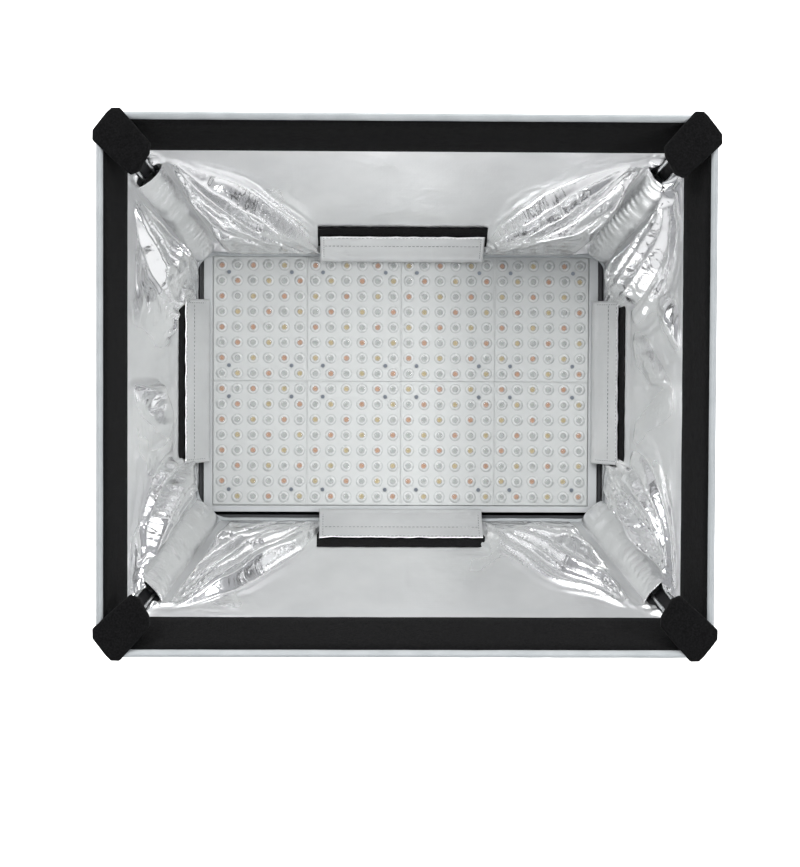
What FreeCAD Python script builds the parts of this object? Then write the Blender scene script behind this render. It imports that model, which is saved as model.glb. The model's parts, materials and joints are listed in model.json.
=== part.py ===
"""Rectangular softbox on an LED panel head with a tilting yoke.

Frame: the origin is the centre of the stand socket's mouth, +Z is up, the light shines along -Y and
+X is to the right seen from the front. Lengths are in millimetres.

The head tilts about an axis parallel to X at tilt_height. Parts of the head are laid out from that
axis. The softbox is a pyramid frustum: its walls run from the housing's front edge, where the depth
is 0, to the open front, where the depth is box_depth.
"""
import FreeCAD, Part
import math
import os
import Sketcher

SIZES = {
    "tilt_height": 240.0,
    "front_offset": 42.0,
    "housing_width": 348.0,
    "housing_height": 238.0,
    "housing_depth": 58.0,
    "housing_wall": 3.0,
    "housing_corner": 10.0,
    "boss_radius": 4.5,
    "boss_depth": 12.0,
    "case_hole_radius": 1.5,
    "cover_thickness": 3.0,
    "vent_length": 84.0,
    "vent_height": 4.0,
    "vent_spacing": 8.0,
    "vent_count": 14.0,
    "vent_offset": 108.0,
    "fan_slot_count": 7.0,
    "bezel_width": 340.0,
    "bezel_height": 226.0,
    "bezel_thickness": 4.5,
    "bezel_opening_width": 325.2,
    "bezel_opening_height": 215.8,
    "led_pitch_x": 13.5,
    "led_pitch_z": 13.4,
    "led_size": 3.5,
    "led_thickness": 0.9,
    "board_width": 330.0,
    "board_height": 220.0,
    "board_thickness": 1.6,
    "lens_plate_width": 80.6,
    "lens_plate_height": 106.8,
    "lens_plate_thickness": 2.0,
    "dome_radius": 4.7,
    "dome_height": 3.0,
    "sink_width": 310.0,
    "sink_height": 204.0,
    "sink_base": 3.0,
    "fin_thickness": 1.6,
    "fin_depth": 17.0,
    "fin_spacing": 12.8,
    "fin_count": 24.0,
    "driver_width": 96.0,
    "driver_height": 116.0,
    "driver_x": -108.0,
    "driver_z": -48.0,
    "fan_size": 60.0,
    "fan_depth": 15.0,
    "fan_z": 42.0,
    "fan_opening_radius": 28.0,
    "rotor_radius": 26.5,
    "rotor_hub_radius": 12.0,
    "blade_count": 7.0,
    "blade_pitch": 38.0,
    "lens_screw_radius": 1.0,
    "lens_screw_head_radius": 1.7,
    "panel_width": 200.0,
    "panel_height": 62.0,
    "panel_depth": 13.0,
    "panel_z": -76.0,
    "display_x": -28.0,
    "rocker_x": -78.0,
    "socket_x": 82.0,
    "display_width": 66.0,
    "display_height": 30.0,
    "display_recess": 2.0,
    "control_knob_radius": 9.0,
    "control_knob_length": 12.0,
    "control_shaft_radius": 2.95,
    "control_hole_radius": 3.0,
    "groove_count": 20.0,
    "groove_radius": 0.7,
    "rocker_width": 12.0,
    "rocker_height": 18.0,
    "rocker_hole_width": 13.0,
    "rocker_hole_height": 20.0,
    "rocker_rest_angle": 6.0,
    "socket_radius": 2.9,
    "socket_outer_radius": 5.5,
    "socket_bore_length": 7.0,
    "cover_screw_radius": 1.45,
    "cover_screw_head_radius": 2.8,
    "trunnion_radius": 15.0,
    "trunnion_length": 10.2,
    "screw_radius": 3.95,
    "screw_hole_radius": 4.0,
    "yoke_width": 25.0,
    "yoke_thickness": 5.0,
    "yoke_inner": 372.0,
    "yoke_bend": 18.0,
    "crossbar_drop": 165.0,
    "washer_thickness": 1.2,
    "friction_washer_radius": 14.0,
    "knob_washer_radius": 11.0,
    "washer_hole_radius": 4.2,
    "tilt_knob_radius": 20.0,
    "tilt_knob_length": 18.0,
    "tilt_shank_length": 26.0,
    "lobe_count": 8.0,
    "scallop_radius": 7.0,
    "receiver_radius": 16.0,
    "receiver_length": 70.0,
    "receiver_flange_radius": 22.0,
    "receiver_flange_height": 6.0,
    "stud_socket_radius": 8.05,
    "stud_socket_depth": 52.0,
    "lock_height": 28.0,
    "lock_boss_radius": 9.0,
    "lock_boss_end": 24.0,
    "shoe_radius": 5.15,
    "shoe_hole_radius": 5.2,
    "shoe_length": 5.0,
    "shoe_start": 8.7,
    "lock_shank_length": 22.0,
    "lock_hub_radius": 8.0,
    "lock_hub_length": 12.0,
    "lock_handle_radius": 3.5,
    "lock_handle_length": 50.0,
    "box_depth": 200.0,
    "rear_width": 349.0,
    "rear_height": 239.0,
    "front_width": 486.0,
    "front_height": 426.0,
    "shell_thickness": 1.2,
    "lining_thickness": 0.8,
    "tape_thickness": 1.0,
    "seam_gap": 0.2,
    "wall_end": 0.945,
    "tape_start": 0.76,
    "tape_end": 0.94,
    "strip_start": 0.10,
    "strip_end": 0.23,
    "low_lining_start": 3.4,
    "low_lining_half": 108.5,
    "low_lining_end": 0.75,
    "low_lining_rear_half": 150.0,
    "low_lining_front_half": 203.0,
    "hem_depth": 11.0,
    "hem_thickness": 4.0,
    "hem_chamfer": 22.0,
    "pocket_thickness": 2.0,
    "pocket_reach": 75.0,
    "pocket_overhang": 4.0,
    "pocket_band": 34.0,
    "skirt_length": 22.0,
    "skirt_thickness": 1.5,
    "strut_wire_radius": 1.6,
    "strut_half_gap": 5.5,
    "strut_inset": 8.5,
    "strut_start": 8.5,
    "strut_end": 188.0,
    "sleeve_width": 28.0,
    "sleeve_inset": 11.6,
    "sleeve_start": 10.0,
    "sleeve_end": 126.0,
    "sleeve_thickness": 0.8,
    "foot_width": 15.0,
    "foot_length": 4.0,
    "foot_thickness": 3.6,
    "flap_width": 140.0,
    "flap_length": 40.0,
    "flap_thickness": 1.2,
    "flap_lift": 4.4,
    "flap_gap": 0.8,
    "fold_side": 165.0,
    "fold_top": 103.0,
    "fold_bottom": 110.5,
    "hook_width": 15.0,
    "hook_thickness": 0.9,
}

LED_COLUMNS = 24
LED_ROWS = 16
PLATE_COLUMNS = 6
PLATE_ROWS = 8
VERTICAL_SIDES = ("left", "right")
SIDE_TURNS = {"top": 0, "right": 90, "bottom": 180, "left": 270}
CORNERS = ((-1, 1), (1, 1), (-1, -1), (1, -1))

doc = FreeCAD.newDocument("softbox")
sheet = doc.addObject("Spreadsheet::Sheet", "Sizes")
for row, (alias, number) in enumerate(SIZES.items(), start=1):
    sheet.set(f"A{row}", alias)
    sheet.set(f"B{row}", str(number))
    sheet.setAlias(f"B{row}", alias)
doc.recompute()

nodes = []
S = SIZES
HEAD_CENTRE = FreeCAD.Vector(0, 0, S["tilt_height"])


def cell(text):
    """Turn an expression in plain aliases into one that names the sheet's cells."""
    words = text.replace("(", " ( ").replace(")", " ) ").split()
    named = " ".join(f"Sizes.{word}" if word in SIZES else word for word in words)
    return named.replace("sqrt (", "sqrt(")


def bind(item, **expressions):
    for name, text in expressions.items():
        item.setExpression(name, cell(text))


def keep(item, label, placement=None):
    """Register an object as a sub-part of the product under its own label."""
    item.Label = label
    if placement is not None:
        item.Placement = placement
    nodes.append(item)
    return item


def at(x=0.0, y=0.0, z=0.0, rotation=None):
    return FreeCAD.Placement(FreeCAD.Vector(x, y, z), rotation or FreeCAD.Rotation())


def on_head(x=0.0, y=0.0, z=0.0, rotation=None):
    """Placement measured from the centre of the tilt axis."""
    return at(x, y, z + S["tilt_height"], rotation)


def turned(axis, degrees):
    return FreeCAD.Rotation(FreeCAD.Vector(*axis), degrees)


# ---------------------------------------------------------------- sketches


def new_body(name):
    return doc.addObject("PartDesign::Body", name)


def origin_feature(body, role):
    return next(item for item in body.Origin.OriginFeatures if item.Role == role)


def new_sketch(body, name, plane="XZ_Plane", offset=0.0):
    sketch = body.newObject("Sketcher::SketchObject", name)
    sketch.AttachmentSupport = [(origin_feature(body, plane), "")]
    sketch.MapMode = "FlatFace"
    sketch.AttachmentOffset = at(z=offset)
    return sketch


def size_constraint(sketch, kind, *parts, expression):
    """Add a driving constraint and bind its value to the sheet."""
    index = sketch.addConstraint(Sketcher.Constraint(kind, *parts, 10.0))
    sketch.setExpression(f"Constraints[{index}]", cell(expression))
    return index


def line(sketch, start, end):
    first = FreeCAD.Vector(start[0], start[1], 0)
    last = FreeCAD.Vector(end[0], end[1], 0)
    return sketch.addGeometry(Part.LineSegment(first, last), False)


def circle(sketch, radius, x=0.0, y=0.0):
    """A circle fixed at a place, with its radius bound to the sheet."""
    centre = FreeCAD.Vector(x, y, 0)
    curve = sketch.addGeometry(Part.Circle(centre, FreeCAD.Vector(0, 0, 1), 1.0), False)
    index = sketch.addConstraint(Sketcher.Constraint("Radius", curve, 1.0))
    sketch.setExpression(f"Constraints[{index}]", cell(radius))
    return curve


def rectangle(sketch, width, height, x=0.0, y=0.0):
    """A rectangle centred on a place, its width and height bound to the sheet."""
    corners = [(x - 50, y - 30), (x + 50, y - 30), (x + 50, y + 30), (x - 50, y + 30)]
    sides = [line(sketch, corners[i], corners[(i + 1) % 4]) for i in range(4)]
    for i in range(4):
        sketch.addConstraint(Sketcher.Constraint("Coincident", sides[i], 2, sides[(i + 1) % 4], 1))
    for i in (0, 2):
        sketch.addConstraint(Sketcher.Constraint("Horizontal", sides[i]))
        sketch.addConstraint(Sketcher.Constraint("Vertical", sides[i + 1]))
    size_constraint(sketch, "DistanceX", sides[0], 1, sides[0], 2, expression=width)
    size_constraint(sketch, "DistanceY", sides[1], 1, sides[1], 2, expression=height)
    size_constraint(sketch, "DistanceX", -1, 1, sides[0], 1, expression=f"{x} - ( {width} ) / 2")
    size_constraint(sketch, "DistanceY", -1, 1, sides[0], 1, expression=f"{y} - ( {height} ) / 2")
    return sides


def trapezoid(sketch, low, high, low_half, high_half):
    """A trapezoid symmetric about the sketch's vertical axis, between two heights."""
    corners = [(-60, 10), (60, 10), (80, 90), (-80, 90)]
    sides = [line(sketch, corners[i], corners[(i + 1) % 4]) for i in range(4)]
    for i in range(4):
        sketch.addConstraint(Sketcher.Constraint("Coincident", sides[i], 2, sides[(i + 1) % 4], 1))
    sketch.addConstraint(Sketcher.Constraint("Symmetric", sides[0], 1, sides[0], 2, -2))
    sketch.addConstraint(Sketcher.Constraint("Symmetric", sides[2], 1, sides[2], 2, -2))
    size_constraint(sketch, "DistanceX", sides[0], 1, sides[0], 2, expression=f"2 * ( {low_half} )")
    size_constraint(sketch, "DistanceX", sides[2], 2, sides[2], 1, expression=f"2 * ( {high_half} )")
    size_constraint(sketch, "DistanceY", -1, 1, sides[0], 1, expression=low)
    size_constraint(sketch, "DistanceY", -1, 1, sides[2], 1, expression=high)


def pad(body, sketch, name, length, reverse=False, middle=False):
    feature = body.newObject("PartDesign::Pad", name)
    feature.Profile = sketch
    feature.Reversed = reverse
    feature.Midplane = middle
    bind(feature, Length=length)
    doc.recompute()
    return feature


def pocket(body, sketch, name, length=None, reverse=False, middle=False):
    """Cut a profile out of the body, and make sure that it really cut something."""
    before = body.Shape.Volume
    feature = body.newObject("PartDesign::Pocket", name)
    feature.Profile = sketch
    feature.Reversed = reverse
    feature.Midplane = middle
    if length is None:
        feature.Type = "ThroughAll"
    else:
        bind(feature, Length=length)
    doc.recompute()
    if body.Shape.Volume > before - 1e-3:
        raise RuntimeError(f"{name} cuts nothing")
    return feature


def pattern(body, name, feature, kind, axis_role, count, span=None):
    """Repeat a feature along a straight span, or all round an axis."""
    item = body.newObject(f"PartDesign::{kind}", name)
    item.Originals = [feature]
    axis = (origin_feature(body, axis_role), [""])
    if kind == "LinearPattern":
        item.Direction = axis
        bind(item, Length=span)
    else:
        item.Axis = axis
        item.Angle = 360.0
    bind(item, Occurrences=count)
    body.Tip = item
    doc.recompute()
    return item


def fillet(body, feature, name, radius, chosen):
    """Round the edges of a feature for which chosen(edge) is true."""
    edges = [f"Edge{i}" for i, edge in enumerate(feature.Shape.Edges, start=1) if chosen(edge)]
    item = body.newObject("PartDesign::Fillet", name)
    item.Base = (feature, edges)
    item.Radius = radius
    doc.recompute()
    return item


def along(edge, axis):
    """Whether a straight edge runs along a coordinate axis, 0 for X, 1 for Y and 2 for Z."""
    if not isinstance(edge.Curve, Part.Line):
        return False
    return abs(abs(edge.Curve.Direction[axis]) - 1) < 1e-6


def plate(name, width, height, thickness, corner=None, inner=None):
    """A plate in the XZ plane, from y = 0 forward to -thickness, optionally with an opening."""
    body = new_body(name)
    outline = new_sketch(body, f"{name}_outline")
    rectangle(outline, width, height)
    solid = pad(body, outline, f"{name}_pad", thickness)
    if corner:
        solid = fillet(body, solid, f"{name}_corners", corner, lambda edge: along(edge, 1))
    if inner:
        opening = new_sketch(body, f"{name}_opening")
        rectangle(opening, *inner)
        pocket(body, opening, f"{name}_cut", reverse=True)
    return body


def group(label, solids, placement=None):
    """Separate identical solids kept together as one sub-part."""
    item = doc.addObject("Part::Feature", label)
    item.Shape = Part.makeCompound(solids)
    return keep(item, label, placement or FreeCAD.Placement())


def moved(shape, placement):
    copy = shape.copy()
    copy.Placement = placement.multiply(copy.Placement)
    return copy


def ring_y(outer, inner, length):
    """A washer or tube along Y from y = 0 to y = length."""
    axis = FreeCAD.Vector(0, 1, 0)
    solid = Part.makeCylinder(outer, length, FreeCAD.Vector(), axis)
    return solid.cut(Part.makeCylinder(inner, length, FreeCAD.Vector(), axis))


# ---------------------------------------------------------------- LED panel head

BACK_Y = S["housing_depth"] - S["front_offset"]
FRONT_Y = -S["front_offset"]


def case_screw_places():
    """Where the rear cover is screwed to the housing: corners and the middles of the long sides."""
    x = S["housing_width"] / 2 - S["housing_wall"] - S["boss_radius"] + 0.5
    z = S["housing_height"] / 2 - S["housing_wall"] - S["boss_radius"] + 0.5
    return [(sx * x, sz * z) for sx in (-1, 0, 1) for sz in (-1, 1)]


def make_housing_frame():
    body = new_body("housing_frame_body")
    outline = new_sketch(body, "housing_outline")
    rectangle(outline, "housing_width", "housing_height")
    tube = pad(body, outline, "housing_pad", "housing_depth")
    fillet(body, tube, "housing_corners", S["housing_corner"], lambda edge: along(edge, 1))
    inside = new_sketch(body, "housing_inside")
    rectangle(
        inside,
        "housing_width - 2 * housing_wall",
        "housing_height - 2 * housing_wall",
    )
    pocket(body, inside, "housing_cut", reverse=True)
    bosses = new_sketch(body, "housing_bosses")
    for x, z in case_screw_places():
        circle(bosses, "boss_radius", x, z)
    pad(body, bosses, "housing_boss_pad", "boss_depth")
    holes = new_sketch(body, "housing_boss_holes")
    for x, z in case_screw_places():
        circle(holes, "case_hole_radius", x, z)
    pocket(body, holes, "housing_boss_cut", "boss_depth", reverse=True)
    pivots = new_sketch(body, "housing_pivots", "YZ_Plane")
    circle(pivots, "screw_hole_radius + 1", -BACK_Y, 0)
    pocket(body, pivots, "housing_pivot_cut", middle=True)
    return keep(body, "housing_frame", on_head(y=BACK_Y))


def make_rear_cover():
    body = plate("rear_cover_body", "housing_width", "housing_height", "cover_thickness",
                 S["housing_corner"])
    holes = new_sketch(body, "cover_holes")
    for x, z in case_screw_places():
        circle(holes, "case_hole_radius + 0.2", x, z)
    pocket(body, holes, "cover_hole_cut", reverse=True)
    for side in (-1, 1):
        slot = new_sketch(body, "vent_slot")
        rectangle(slot, "vent_length", "vent_height", side * S["vent_offset"], -13.0)
        first = pocket(body, slot, "vent_cut", reverse=True)
        pattern(body, "vents", first, "LinearPattern", "Z_Axis", "vent_count",
                "( vent_count - 1 ) * vent_spacing")
    fan_slot = new_sketch(body, "fan_slot")
    rectangle(fan_slot, "fan_size - 8", "vent_height", 0.0, 18.0)
    first = pocket(body, fan_slot, "fan_slot_cut", reverse=True)
    pattern(body, "fan_slots", first, "LinearPattern", "Z_Axis", "fan_slot_count",
            "( fan_slot_count - 1 ) * vent_spacing")
    return keep(body, "rear_cover", on_head(y=BACK_Y + S["cover_thickness"]))


def make_bezel():
    body = plate(
        "front_bezel_body", "bezel_width", "bezel_height", "bezel_thickness", 6.0,
        inner=("bezel_opening_width", "bezel_opening_height"),
    )
    return keep(body, "front_bezel", on_head(y=FRONT_Y + 2.0))


def led_places(column_start=0, columns=LED_COLUMNS, row_start=0, rows=LED_ROWS):
    """Column, row, x and z of each LED, from the top left seen from the front."""
    for column in range(column_start, column_start + columns):
        for row_number in range(row_start, row_start + rows):
            x = (column - (LED_COLUMNS - 1) / 2) * S["led_pitch_x"]
            z = ((LED_ROWS - 1) / 2 - row_number) * S["led_pitch_z"]
            yield column, row_number, x, z


def make_leds():
    """White-light emitters and colour emitters alternate like the squares of a chessboard."""
    half = S["led_size"] / 2
    rows = {0: [], 1: []}
    for column, row_number, x, z in led_places():
        corner = FreeCAD.Vector(x - half, -S["led_thickness"], z - half)
        chip = Part.makeBox(S["led_size"], S["led_thickness"], S["led_size"], corner)
        rows[(column + row_number) % 2].append(chip)
    front = on_head(y=FRONT_Y + 4.0)
    group("phosphor_leds", rows[0], front)
    group("colour_leds", rows[1], front)


def make_led_board():
    body = plate("led_board_body", "board_width", "board_height", "board_thickness", 2.0)
    return keep(body, "led_board", on_head(y=FRONT_Y + 4.05 + S["board_thickness"]))


def lens_screw_offsets():
    """Screws stand between four lenses, near the corners of each lens plate."""
    x = 2 * S["led_pitch_x"]
    z = 3 * S["led_pitch_z"]
    return [(sx * x, sz * z) for sx in (-1, 1) for sz in (-1, 1)]


def plate_centres():
    width = PLATE_COLUMNS * S["led_pitch_x"]
    height = PLATE_ROWS * S["led_pitch_z"]
    for i in range(LED_COLUMNS // PLATE_COLUMNS):
        for k in range(LED_ROWS // PLATE_ROWS):
            yield (i - 1.5) * width, (0.5 - k) * height


def make_lens_plate():
    """One moulded plate: a flat back and a dome over each LED, with four screw holes."""
    width = S["lens_plate_width"]
    height = S["lens_plate_height"]
    thickness = S["lens_plate_thickness"]
    base = Part.makeBox(width, thickness, height, FreeCAD.Vector(-width / 2, 0, -height / 2))
    radius = (S["dome_radius"] ** 2 + S["dome_height"] ** 2) / (2 * S["dome_height"])
    ball = Part.makeSphere(radius, FreeCAD.Vector(0, radius - S["dome_height"], 0))
    room = 2 * radius
    front = Part.makeBox(2 * room, room, 2 * room, FreeCAD.Vector(-room, -room + 0.5, -room))
    dome = ball.common(front)
    domes = []
    for i in range(PLATE_COLUMNS):
        for k in range(PLATE_ROWS):
            x = (i - (PLATE_COLUMNS - 1) / 2) * S["led_pitch_x"]
            z = (k - (PLATE_ROWS - 1) / 2) * S["led_pitch_z"]
            domes.append(moved(dome, at(x, 0, z)))
    solid = base.multiFuse(domes)
    for x, z in lens_screw_offsets():
        axis = FreeCAD.Vector(0, 1, 0)
        hole = Part.makeCylinder(S["lens_screw_radius"] + 0.1, thickness, FreeCAD.Vector(x, 0, z), axis)
        solid = solid.cut(hole)
    return solid


def make_lenses():
    one = make_lens_plate()
    front = on_head(y=FRONT_Y)
    group("lens_plates", [moved(one, at(x, 0, z)) for x, z in plate_centres()], front)
    axis = FreeCAD.Vector(0, 1, 0)
    screws = []
    for x, z in plate_centres():
        for dx, dz in lens_screw_offsets():
            place = FreeCAD.Vector(x + dx, 0, z + dz)
            above = place - axis * 0.7
            head = Part.makeCylinder(S["lens_screw_head_radius"], 0.7, above, axis)
            shank = Part.makeCylinder(S["lens_screw_radius"], 3.9, place, axis)
            screws.append(head.fuse(shank))
    group("lens_screws", screws, front)


def make_heat_sink():
    body = plate("heat_sink_body", "sink_width", "sink_height", "sink_base")
    fin = new_sketch(body, "fin_outline")
    rectangle(fin, "fin_thickness", "sink_height", -(S["fin_count"] - 1) * S["fin_spacing"] / 2)
    first = pad(body, fin, "fin", "fin_depth", reverse=True)
    pattern(body, "fins", first, "LinearPattern", "X_Axis", "fin_count",
            "( fin_count - 1 ) * fin_spacing")
    place = FRONT_Y + 4.1 + S["board_thickness"] + S["sink_base"]
    return keep(body, "heat_sink", on_head(y=place))


def make_driver():
    """The power board and the larger components that stand on its front."""
    place = on_head(S["driver_x"], BACK_Y - 3.0, S["driver_z"])
    body = plate("driver_board_body", "driver_width", "driver_height", "board_thickness", 2.0)
    keep(body, "driver_board", place)
    face = -S["board_thickness"]
    components = []
    for i in range(4):
        start = FreeCAD.Vector(-34 + 18 * i, face, 38)
        components.append(Part.makeCylinder(6.5, 13, start, FreeCAD.Vector(0, -1, 0)))
    for i in range(2):
        corner = FreeCAD.Vector(-38 + 42 * i, face - 12, -8)
        components.append(Part.makeBox(32, 12, 26, corner))
    for i in range(6):
        corner = FreeCAD.Vector(-40 + 14 * i, face - 5, -44)
        components.append(Part.makeBox(8, 5, 16, corner))
    group("driver_components", components, place)


def make_fan():
    body = plate("fan_frame_body", "fan_size", "fan_size", "fan_depth", 4.0)
    bore = new_sketch(body, "fan_bore")
    circle(bore, "fan_opening_radius")
    pocket(body, bore, "fan_bore_cut", reverse=True)
    for name, width, height in (("fan_spoke_a", "fan_size - 2", "3"), ("fan_spoke_b", "3", "fan_size - 2")):
        spoke = new_sketch(body, name)
        rectangle(spoke, width, height)
        pad(body, spoke, f"{name}_pad", "2")
    keep(body, "fan_frame", on_head(0, BACK_Y - 0.1, S["fan_z"]))

    rotor = new_body("fan_rotor_body")
    hub = new_sketch(rotor, "rotor_hub")
    circle(hub, "rotor_hub_radius")
    pad(rotor, hub, "rotor_hub_pad", "fan_depth - 4")
    blade = new_sketch(rotor, "rotor_blade", "YZ_Plane", S["rotor_hub_radius"] - 1)
    pitch = math.radians(S["blade_pitch"])
    reach = FreeCAD.Vector(-math.cos(pitch), math.sin(pitch), 0)
    edge = FreeCAD.Vector(math.sin(pitch), math.cos(pitch), 0)
    middle = FreeCAD.Vector(-(S["fan_depth"] - 4) / 2, 0, 0)
    corners = [middle + reach * a * 6.0 + edge * b * 0.6 for a, b in ((-1, -1), (1, -1), (1, 1), (-1, 1))]
    for i in range(4):
        line(blade, corners[i], corners[(i + 1) % 4])
    first = pad(rotor, blade, "rotor_blade_pad", "rotor_radius - rotor_hub_radius")
    pattern(rotor, "rotor_blades", first, "PolarPattern", "Y_Axis", "blade_count")
    keep(rotor, "fan_rotor", on_head(0, BACK_Y - 3.0, S["fan_z"]))


KNOB_X = (26.0, 54.0)


def make_control_panel():
    """Raised panel on the rear cover with the display, the knobs, the switch and the power socket."""
    body = plate("control_panel_body", "panel_width", "panel_height", "panel_depth", 6.0)
    recess = new_sketch(body, "display_recess_outline")
    rectangle(recess, "display_width", "display_height", S["display_x"])
    pocket(body, recess, "display_recess_cut", "display_recess", reverse=True)
    rocker = new_sketch(body, "rocker_hole")
    rectangle(rocker, "rocker_hole_width", "rocker_hole_height", S["rocker_x"])
    pocket(body, rocker, "rocker_hole_cut", "panel_depth - 2", reverse=True)
    holes = new_sketch(body, "knob_holes")
    for x in KNOB_X:
        circle(holes, "control_hole_radius", x)
    circle(holes, "socket_outer_radius", S["socket_x"])
    pocket(body, holes, "knob_hole_cut", "panel_depth - 1", reverse=True)
    back = BACK_Y + S["cover_thickness"] + S["panel_depth"]
    keep(body, "control_panel", on_head(y=back, z=S["panel_z"]))

    window = plate("display_window_body", "display_width - 0.4", "display_height - 0.4",
                   "display_recess - 0.2", 1.0)
    keep(window, "display_window", on_head(S["display_x"], back - 0.1, S["panel_z"]))
    for name, x in zip(("brightness_knob", "colour_knob"), KNOB_X):
        make_control_knob(name, x, back)
    make_rocker(back)
    make_power_socket(back)


def make_control_knob(name, x, back):
    body = new_body(f"{name}_body")
    cap = new_sketch(body, f"{name}_cap")
    circle(cap, "control_knob_radius")
    solid = pad(body, cap, f"{name}_cap_pad", "control_knob_length", reverse=True)
    rim = S["control_knob_length"]
    solid = fillet(body, solid, f"{name}_rim", 1.2,
                   lambda edge: edge.Closed and edge.BoundBox.YMin > rim - 0.1)
    groove = new_sketch(body, f"{name}_groove")
    circle(groove, "groove_radius", S["control_knob_radius"] + 0.2)
    first = pocket(body, groove, f"{name}_groove_cut", "control_knob_length - 2")
    pattern(body, f"{name}_grooves", first, "PolarPattern", "Y_Axis", "groove_count")
    shaft = new_sketch(body, f"{name}_shaft")
    circle(shaft, "control_shaft_radius")
    pad(body, shaft, f"{name}_shaft_pad", "10")
    keep(body, name, on_head(x, back + 0.6, S["panel_z"]))


def make_rocker(back):
    """A rocker whose two wings meet at a shallow angle over its pivot."""
    body = new_body("power_rocker_body")
    outline = new_sketch(body, "rocker_outline", "YZ_Plane")
    half = S["rocker_height"] / 2
    points = [(-4.0, -3.0), (1.6, -half), (3.4, -half), (2.2, 0.0), (3.4, half), (1.6, half), (-4.0, 3.0)]
    for i, point in enumerate(points):
        line(outline, point, points[(i + 1) % len(points)])
    pad(body, outline, "rocker_pad", "rocker_width", middle=True)
    tilt = turned((1, 0, 0), -S["rocker_rest_angle"])
    keep(body, "power_rocker", on_head(S["rocker_x"], back - 1.0, S["panel_z"], tilt))


def make_power_socket(back):
    """A coaxial socket: a tube with a closed bottom and a contact pin set deep inside it."""
    axis = FreeCAD.Vector(0, 1, 0)
    depth = S["panel_depth"] - 2
    outside = Part.makeCylinder(S["socket_outer_radius"] - 0.05, depth, FreeCAD.Vector(), axis)
    bore = S["socket_bore_length"]
    mouth = Part.makeCylinder(S["socket_radius"], bore, FreeCAD.Vector(0, depth - bore, 0), axis)
    well = Part.makeCylinder(S["socket_radius"] - 0.8, 3.0, FreeCAD.Vector(0, 1, 0), axis)
    pin = Part.makeCylinder(0.9, 3.0, FreeCAD.Vector(0, 0.5, 0), axis)
    item = doc.addObject("Part::Feature", "power_socket_shape")
    item.Shape = outside.cut(mouth).cut(well).fuse(pin)
    keep(item, "power_socket", on_head(S["socket_x"], back - depth, S["panel_z"]))


def make_case_screws():
    axis = FreeCAD.Vector(0, -1, 0)
    screws = []
    for x, z in case_screw_places():
        head = Part.makeCylinder(S["cover_screw_head_radius"], 1.8, FreeCAD.Vector(x, 1.8, z), axis)
        shank = Part.makeCylinder(S["cover_screw_radius"], 11.0, FreeCAD.Vector(x, 0, z), axis)
        drive = Part.makeCylinder(1.2, 1.0, FreeCAD.Vector(x, 1.8, z), axis)
        screws.append(head.fuse(shank).cut(drive))
    group("case_screws", screws, on_head(y=BACK_Y + S["cover_thickness"] + 0.02))


def make_trunnions():
    """Bushes on the housing's sides that the tilt screws thread into."""
    start = S["housing_width"] / 2 + 0.05
    bushes = []
    for side in (-1, 1):
        bush = ring_y(S["trunnion_radius"], S["screw_hole_radius"], S["trunnion_length"])
        bushes.append(moved(bush, on_head(x=side * start, rotation=turned((0, 0, 1), -90 * side))))
    group("trunnions", bushes)


# ---------------------------------------------------------------- yoke and stand receiver

YOKE_X = S["yoke_inner"] / 2
CROSSBAR_TOP = S["tilt_height"] - S["crossbar_drop"]


def u_outline(sketch, half, bottom, top, radius):
    """The lower half of a U: two uprights, two bends and the bar between them."""
    line(sketch, (-half, top), (-half, bottom + radius))
    line(sketch, (-half + radius, bottom), (half - radius, bottom))
    line(sketch, (half, bottom + radius), (half, top))
    for side in (-1, 1):
        centre = FreeCAD.Vector(side * (half - radius), bottom + radius, 0)
        start = math.pi if side < 0 else 1.5 * math.pi
        bend = Part.Circle(centre, FreeCAD.Vector(0, 0, 1), radius)
        sketch.addGeometry(Part.ArcOfCircle(bend, start, start + math.pi / 2), False)


def make_yoke():
    body = new_body("yoke_body")
    outline = new_sketch(body, "yoke_outline")
    thickness = S["yoke_thickness"]
    top = S["tilt_height"] + S["yoke_width"] / 2
    u_outline(outline, YOKE_X + thickness, CROSSBAR_TOP - thickness, top, S["yoke_bend"])
    u_outline(outline, YOKE_X, CROSSBAR_TOP, top, S["yoke_bend"] - thickness)
    for side in (-1, 1):
        line(outline, (side * YOKE_X, top), (side * (YOKE_X + thickness), top))
    bar = pad(body, outline, "yoke_pad", "yoke_width", middle=True)
    fillet(body, bar, "yoke_ends", S["yoke_width"] / 2 - 0.1,
           lambda edge: along(edge, 0) and edge.BoundBox.ZMin > top - 0.1)
    pivots = new_sketch(body, "yoke_pivots", "YZ_Plane")
    circle(pivots, "screw_hole_radius + 0.2", 0, S["tilt_height"])
    pocket(body, pivots, "yoke_pivot_cut", middle=True)
    bolt = new_sketch(body, "yoke_bolt_hole", "XY_Plane")
    circle(bolt, "screw_hole_radius + 0.2")
    pocket(body, bolt, "yoke_bolt_cut", middle=True)
    return keep(body, "yoke")


def washers(label, inner_face, outer):
    discs = []
    for side in (-1, 1):
        disc = ring_y(outer, S["washer_hole_radius"], S["washer_thickness"])
        place = on_head(x=side * inner_face, rotation=turned((0, 0, 1), -90 * side))
        discs.append(moved(disc, place))
    group(label, discs)


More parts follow.
